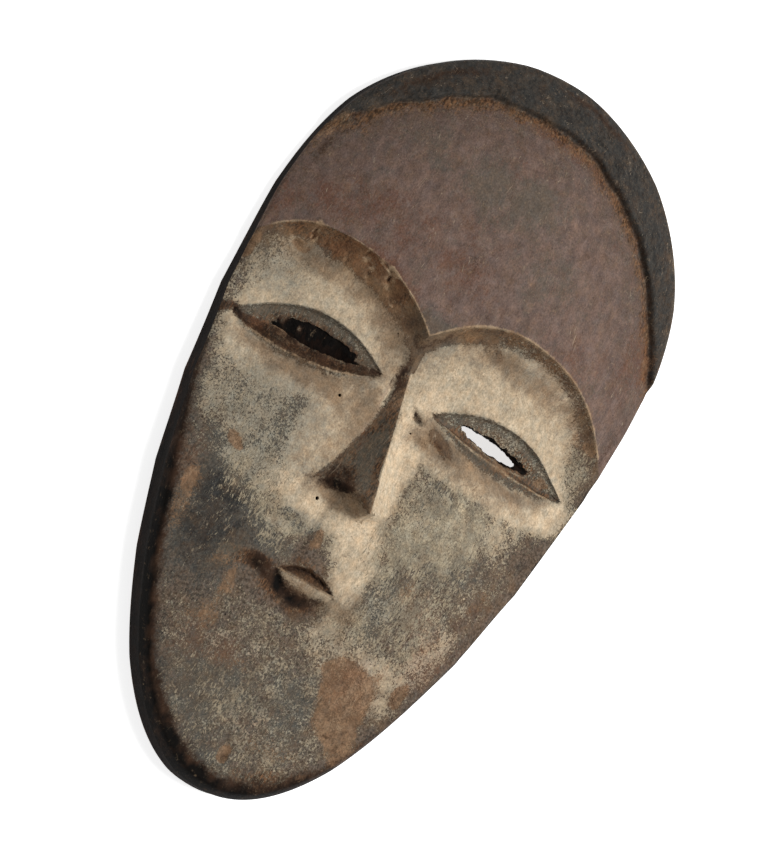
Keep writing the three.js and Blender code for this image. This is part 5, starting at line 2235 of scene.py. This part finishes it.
@dataclass
class Wormholes:
    """Small round holes bored into the face, as a Geometry Nodes tree that puts a borer at each point."""

    places: tuple[tuple[float, float, float], ...] = (
        (-7.2, -19.6, 1.0), (-13.0, -1.3, 0.8), (-9.4, 14.1, 0.4), (2.2, -0.2, 0.5),
    )
    radius: float = 0.37
    size: str = "bore_size"
    depth: float = 3.0
    sides: int = 12
    seed: int = 5

    def values(self) -> dict[str, float]:
        """Gives the tree's numbers by name."""
        return {"Radius": self.radius, "Depth": self.depth, "Sides": self.sides, "Seed": self.seed}

    def tree(self) -> NodeTree:
        """Builds the tree, which stands a round borer of a slightly varied size at each point.

        Returns:
            The node tree.
        """
        numbers = {"Radius": "Float", "Depth": "Float", "Sides": "Int", "Seed": "Int"}
        tree, given = geometry_tree("wormholes", numbers)
        shape = {"Vertices": given["Sides"], "Radius": given["Radius"], "Depth": given["Depth"]}
        borer = tree.node("GeometryNodeMeshCylinder", shape).outputs["Mesh"]
        chance = {2: 0.9, 3: 1.1, 8: given["Seed"]}
        varied = tree.node("FunctionNodeRandomValue", chance, data_type="FLOAT").outputs[1]
        own = tree.node("GeometryNodeInputNamedAttribute", {"Name": self.size}, data_type="FLOAT").outputs[0]
        across = tree.sum("MULTIPLY", varied, own)
        size = tree.node("ShaderNodeCombineXYZ", {0: across, 1: across, 2: 1.0}).outputs[0]
        points = tree.node("GeometryNodeMeshToPoints", {"Mesh": given["Geometry"]}).outputs[0]
        inputs = {"Points": points, "Instance": borer, "Scale": size}
        stood = tree.node("GeometryNodeInstanceOnPoints", inputs)
        return ended(tree, stood.outputs[0], given["Finish"])


def mesh_of(name: str, points: Array, triangles: Array) -> Mesh:
    """Makes a mesh of triangles.

    Args:
        name: its name.
        points: its points.
        triangles: three point numbers for each triangle.

    Returns:
        The mesh.
    """
    mesh = bpy.data.meshes.new(name)
    mesh.from_pydata(points.tolist(), [], triangles.tolist())
    mesh.update()
    return mesh


def placed(name: str, mesh: Mesh) -> Piece:
    """Puts a mesh into the scene, at the origin.

    Args:
        name: the object's name.
        mesh: its mesh.

    Returns:
        The object.
    """
    piece = bpy.data.objects.new(name, mesh)
    bpy.context.scene.collection.objects.link(piece)
    return piece


def settled(piece: Piece) -> Mesh:
    """Turns a piece's modifiers into a plain mesh and takes them off it.

    Args:
        piece: the object.

    Returns:
        The plain mesh.
    """
    graph = bpy.context.evaluated_depsgraph_get()
    mesh = bpy.data.meshes.new_from_object(piece.evaluated_get(graph))
    piece.modifiers.clear()
    piece.data = mesh
    return mesh


def run_nodes(piece: Piece, tree: NodeTree, values: dict[str, object]) -> None:
    """Runs a Geometry Nodes tree on a piece and keeps the result as its mesh.

    Args:
        piece: the object.
        tree: the node tree.
        values: the tree's inputs by name.
    """
    modifier = piece.modifiers.new(tree.name, "NODES")
    modifier.node_group = tree
    for socket in tree.interface.items_tree:
        if socket.item_type == "SOCKET" and socket.in_out == "INPUT" and socket.name in values:
            modifier[socket.identifier] = values[socket.name]
    settled(piece)


def cut_away(piece: Piece, cutter: Piece) -> None:
    """Cuts one closed mesh out of another and removes the cutter.

    Args:
        piece: what is cut.
        cutter: what cuts it.
    """
    modifier = piece.modifiers.new("cut", "BOOLEAN")
    modifier.operation = "DIFFERENCE"
    modifier.solver = "MANIFOLD"
    modifier.object = cutter
    settled(piece)
    bpy.data.objects.remove(cutter)


def split_to_triangles(mesh: Mesh) -> None:
    """Splits faces of more than three corners.

    Args:
        mesh: the mesh.
    """
    work = bmesh.new()
    work.from_mesh(mesh)
    bmesh.ops.triangulate(work, faces=[face for face in work.faces if len(face.verts) > 3])
    work.to_mesh(mesh)
    work.free()


def set_values(mesh: Mesh, name: str, values: Array) -> None:
    """Keeps a number for each point of a mesh."""
    layer = mesh.attributes.get(name) or mesh.attributes.new(name, "FLOAT", "POINT")
    layer.data.foreach_set("value", np.asarray(values, np.float32))


def points_of(mesh: Mesh) -> Array:
    """Reads a mesh's points.

    Args:
        mesh: the mesh.

    Returns:
        A row of x, y and z for each point.
    """
    flat = np.empty(len(mesh.vertices) * 3, np.float32)
    mesh.vertices.foreach_get("co", flat)
    return flat.reshape(-1, 3).astype(float)


@dataclass
class Mask:
    """The whole mask: its carving, its slits and holes, its finishes and its place in the frame.

    The rim's top, the slacks, the clear width at the wall and the slit's least depth, in millimetres, tell
    the face, the side wall, the hollow and the slits apart.
    """

    relief: Relief = field(default_factory=Relief)
    gouge: Gouge = field(default_factory=Gouge)
    wormholes: Wormholes = field(default_factory=Wormholes)
    effects: Effects = field(default_factory=Effects)
    sharp_angle: float = math.radians(50.0)
    slits: tuple[SlitBack, SlitBack] = (LEFT_SLIT, RIGHT_SLIT)
    slit_seed: int = 41
    rim_top: float = 0.02
    wall_slack: float = 0.05
    wall_clear: float = 3.0
    hollow_slack: float = 0.1
    slit_depth: float = 0.25

    def build(self) -> Piece:
        """Carves the mask, cuts it, paints it and puts it where the frame has it.

        Returns:
            The finished piece.
        """
        points, triangles = Carving(self.relief).build()
        piece = placed("carved_mask", mesh_of("carved_mask", points, triangles))
        LOG.info("carving: %d points, %d triangles", len(points), len(triangles))
        finishes = [finish.make(self.effects) for finish in (PAINTED_FACE, STAINED_AND_SHADED_WALL, BARE_HOLLOW)]
        self.gouge_hollow(piece, finishes[Zone.BACK.value])
        for number, (eye, back) in enumerate(zip(self.relief.eyes, self.slits)):
            cutter = SlitCutter(self.relief, eye.slit, back, self.slit_seed + number)
            cut_away(piece, placed("slit_cutter", mesh_of("slit_cutter", *cutter.build())))
        self.bore(piece, finishes[Zone.FACE.value])
        split_to_triangles(piece.data)
        LOG.info("slits and wormholes cut: %d points", len(piece.data.vertices))
        self.paint(piece.data, finishes)
        self.place(piece)
        return piece

    def gouge_hollow(self, piece: Piece, finish: Finish) -> None:
        """Marks the hollow with the gouge.

        Args:
            piece: the mask.
            finish: the hollow's finish.
        """
        x, y, z = points_of(piece.data).T
        shrink, narrow = self.relief.hollow_scale()
        value, inward = self.relief.egg.reach(x / shrink, y / shrink, narrow)
        hollow = self.relief.hollow(x, y)
        inside = (np.abs(z - hollow) < 0.05) & (value < 1.0)
        set_values(piece.data, self.gouge.mask, inside * smooth(0.3, 4.0, inward))
        run_nodes(piece, self.gouge.tree(), {**self.gouge.values(), "Finish": finish})

    def bore(self, piece: Piece, finish: Finish) -> None:
        """Bores the wormholes.

        Args:
            piece: the mask.
            finish: the finish inside the holes.
        """
        holes = self.wormholes
        x, y, sizes = np.array(holes.places).T
        z = self.relief.face(x, y)
        borers = placed("borers", mesh_of("borers", np.column_stack([x, y, z]), np.empty((0, 3), int)))
        set_values(borers.data, holes.size, sizes)
        run_nodes(borers, holes.tree(), {**holes.values(), "Finish": finish})
        cut_away(piece, borers)

    def paint(self, mesh: Mesh, finishes: list[Finish]) -> None:
        """Gives every point its pigments and every face its finish.

        Args:
            mesh: the mask's mesh, in millimetres.
            finishes: the finishes for the face, the wall and the back.
        """
        relief = self.relief
        x, y, z = points_of(mesh).T
        _, inward = relief.egg.reach(x, y)
        depth = np.maximum(relief.face(x, y) - z, 0.0)
        front = z > relief.wall_top(y) - self.wall_slack
        on_rim = z < self.rim_top
        behind = on_rim | ((z < relief.hollow(x, y) + self.hollow_slack) & (inward > self.wall_clear))
        in_slit = (depth > self.slit_depth) & (inward > self.wall_clear)
        unpainted = self.unpainted(x, y, z, on_rim)
        for pigment, amount in Paintwork(relief).amounts(x, y, np.where(front, depth, 0.0)).items():
            wall, back = unpainted.get(pigment, (0.0, 0.0))
            value = np.where(front & ~behind, amount, np.where(behind, back, wall))
            # no wear inside the slits, which keeps them dark as painted shade
            if pigment is Pigment.WEAR:
                value = np.where(in_slit & ~behind, 0.0, value)
            set_values(mesh, pigment.value, np.clip(value, -0.5, 1.6))
        mesh.materials.clear()
        for finish in finishes:
            mesh.materials.append(finish)
        corners = np.empty(len(mesh.polygons) * 3, np.int32)
        mesh.loops.foreach_get("vertex_index", corners)
        corners = corners.reshape(-1, 3)
        zone = np.full(len(corners), Zone.FACE.value, np.int32)
        # faces inside the slits take the dark wall finish, as painted shade in the slits
        zone[~front[corners].all(axis=1) | in_slit[corners].all(axis=1)] = Zone.EDGE.value
        zone[behind[corners].all(axis=1)] = Zone.BACK.value
        mesh.polygons.foreach_set("material_index", zone)
        mesh.set_sharp_from_angle(angle=self.sharp_angle)

    def unpainted(
        self, x: Array, y: Array, z: Array, on_rim: Array,
    ) -> dict[Pigment, tuple[Array | float, Array | float]]:
        """Measures the soot, the wear, the dirt and the painted shade off the face.

        Args:
            x, y, z: the places.
            on_rim: which of them lie on the flat rim.

        Returns:
            For each, its amount on the side wall and on the back.
        """
        worn = Unevenness(51)
        wall_part = np.clip(z / self.relief.wall_top(y), 0.0, 1.0)
        wall_wear = 0.2 + 0.4 * worn.layered(x, y, 9.0) - 0.3 * wall_part
        back_wear = np.where(on_rim, 0.5, 0.2) + 0.5 * worn.layered(x, y, 11.0)
        back_dirt = np.where(on_rim, 0.2, 0.45) + 0.5 * worn.layered(x + 50.0, y, 16.0)
        for eye, slit in zip(self.relief.eyes, self.slits):
            along, off, *_ = eye.slit.at(x, y)
            # painted shade: the back is darker and less worn where each slit comes out, so the slits look
            # dark inside
            slit_shade = bell(off - slit.lean, 1.4) * (np.abs(along - 0.5) < 0.6)
            back_wear, back_dirt = back_wear * (1.0 - slit_shade), back_dirt + 1.3 * slit_shade
        return {
            Pigment.SOOT_AND_SHADE: (0.5, 0.0), Pigment.WEAR: (wall_wear, back_wear), Pigment.DIRT_AND_SHADE: (0.0, back_dirt),
        }

    def place(self, piece: Piece) -> None:
        """Moves the mesh to the frame, in metres, within the solid's own box.

        Args:
            piece: the mask.
        """
        points = points_of(piece.data)
        low, high = (np.array(corner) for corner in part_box(NODE))
        own_low, own_high = points.min(0) * MM, points.max(0) * MM
        scale = np.minimum((high - low) / (own_high - own_low), 1.0)
        middle = (own_low + own_high) / 2.0
        target = (low + high) / 2.0
        moved = (points * MM - middle) * scale + target
        moved[:, 2] = np.clip(points[:, 2] * MM, low[2], high[2])
        piece.data.vertices.foreach_set("co", moved.astype(np.float32).ravel())
        piece.data.update()
        LOG.info("placed: scale %s, shift %s", scale.round(5), ((target - middle) / MM).round(3))


@dataclass
class Studio:
    """The pale, glowing floor, the soft lights and the camera."""

    reach: float = 0.64
    look: tuple[float, float, float] = (0.0, 0.0, 0.008)
    shift: tuple[float, float, float] = (0.000937, -0.000083, 0.0)
    focal_pixels: float = 3488.64
    look_pixel: tuple[float, float] = (395.23, 426.77)
    back: tuple[float, float, float] = (-0.31712, -0.18851, 0.92946)
    right: tuple[float, float, float] = (0.79221, 0.48614, 0.36889)
    sensor: float = 36.0
    floor_size: float = 6.0
    floor_gap: float = 0.00005
    floor_colour: Colour = (232, 232, 232)
    floor_glow: float = 0.7
    key_towards: tuple[float, float, float] = (0.5, 0.2, 0.84)
    key_distance: float = 1.1
    key_power: float = 12.0
    key_size: float = 0.5
    world: float = 0.36

    def floor(self) -> None:
        """Lays the floor, a hair below the mask's flat rim so that the two never coincide."""
        half, low = self.floor_size / 2.0, -self.floor_gap
        corners = [(-half, -half, low), (half, -half, low), (half, half, low), (-half, half, low)]
        mesh = bpy.data.meshes.new("floor")
        mesh.from_pydata(corners, [], [(0, 1, 2, 3)])
        material = bpy.data.materials.new("pale_floor")
        material.use_nodes = True
        shader = material.node_tree.nodes["Principled BSDF"]
        shader.inputs["Base Color"].default_value = linear(self.floor_colour)
        shader.inputs["Roughness"].default_value = 0.9
        # the floor glows with light of its own, which shows white through the slits and lightens the shadows
        shader.inputs["Emission Color"].default_value = (1.0, 1.0, 1.0, 1.0)
        shader.inputs["Emission Strength"].default_value = self.floor_glow
        mesh.materials.append(material)
        placed("floor", mesh)

    def aim(self) -> tuple[Vector, Vector, Vector, Vector]:
        """Works out where the camera stands and how it is turned, so that no lens shift is needed.

        Returns:
            Its place, and its directions to the right, up and back.
        """
        back, right = Vector(self.back).normalized(), Vector(self.right)
        right = (right - back * right.dot(back)).normalized()
        up = back.cross(right)
        eye = back * self.reach + Vector(self.look) - Vector(self.shift)
        across = IMAGE_WIDTH / 2.0 - self.look_pixel[0]
        down = IMAGE_HEIGHT / 2.0 - self.look_pixel[1]
        ahead = (right * across - up * down - back * self.focal_pixels).normalized()
        new_back = -ahead
        new_right = (right - new_back * right.dot(new_back)).normalized()
        return eye, new_right, new_back.cross(new_right), new_back

    def camera(self) -> None:
        """Sets up the camera."""
        eye, right, up, back = self.aim()
        data = bpy.data.cameras.new("camera")
        data.sensor_width = self.sensor
        data.lens = self.focal_pixels * self.sensor / max(IMAGE_WIDTH, IMAGE_HEIGHT)
        data.clip_start, data.clip_end = 0.01, 20.0
        camera = bpy.data.objects.new("camera", data)
        camera.matrix_world = Matrix((
            (right.x, up.x, back.x, eye.x), (right.y, up.y, back.y, eye.y),
            (right.z, up.z, back.z, eye.z), (0.0, 0.0, 0.0, 1.0),
        ))
        bpy.context.scene.collection.objects.link(camera)
        bpy.context.scene.camera = camera

    def light(self) -> None:
        """Hangs one large soft light towards the crown and fills the rest evenly."""
        towards = Vector(self.key_towards).normalized()
        data = bpy.data.lights.new("key", "AREA")
        data.energy, data.shape, data.size = self.key_power, "DISK", self.key_size
        key = bpy.data.objects.new("key", data)
        key.location = towards * self.key_distance
        key.rotation_euler = towards.to_track_quat("Z", "Y").to_euler()
        bpy.context.scene.collection.objects.link(key)
        world = bpy.data.worlds.new("studio")
        world.use_nodes = True
        ground = world.node_tree.nodes["Background"]
        ground.inputs["Color"].default_value = (1.0, 1.0, 1.0, 1.0)
        ground.inputs["Strength"].default_value = self.world
        bpy.context.scene.world = world
        bpy.context.scene.view_settings.view_transform = "Standard"


def main() -> None:
    """Builds the mask and its studio, and says what each piece came to."""
    logging.basicConfig(level=logging.INFO, format="%(name)s: %(message)s")
    studio = Studio()
    studio.camera()
    studio.floor()
    studio.light()
    LOG.info("studio: camera, floor and light set")
    piece = Mask().build()
    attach(piece, BODY)
    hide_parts(NODE)
    LOG.info("%s: %d triangles, rides on %s", piece.name, len(piece.data.polygons), BODY)


if __name__ == "__main__":
    main()
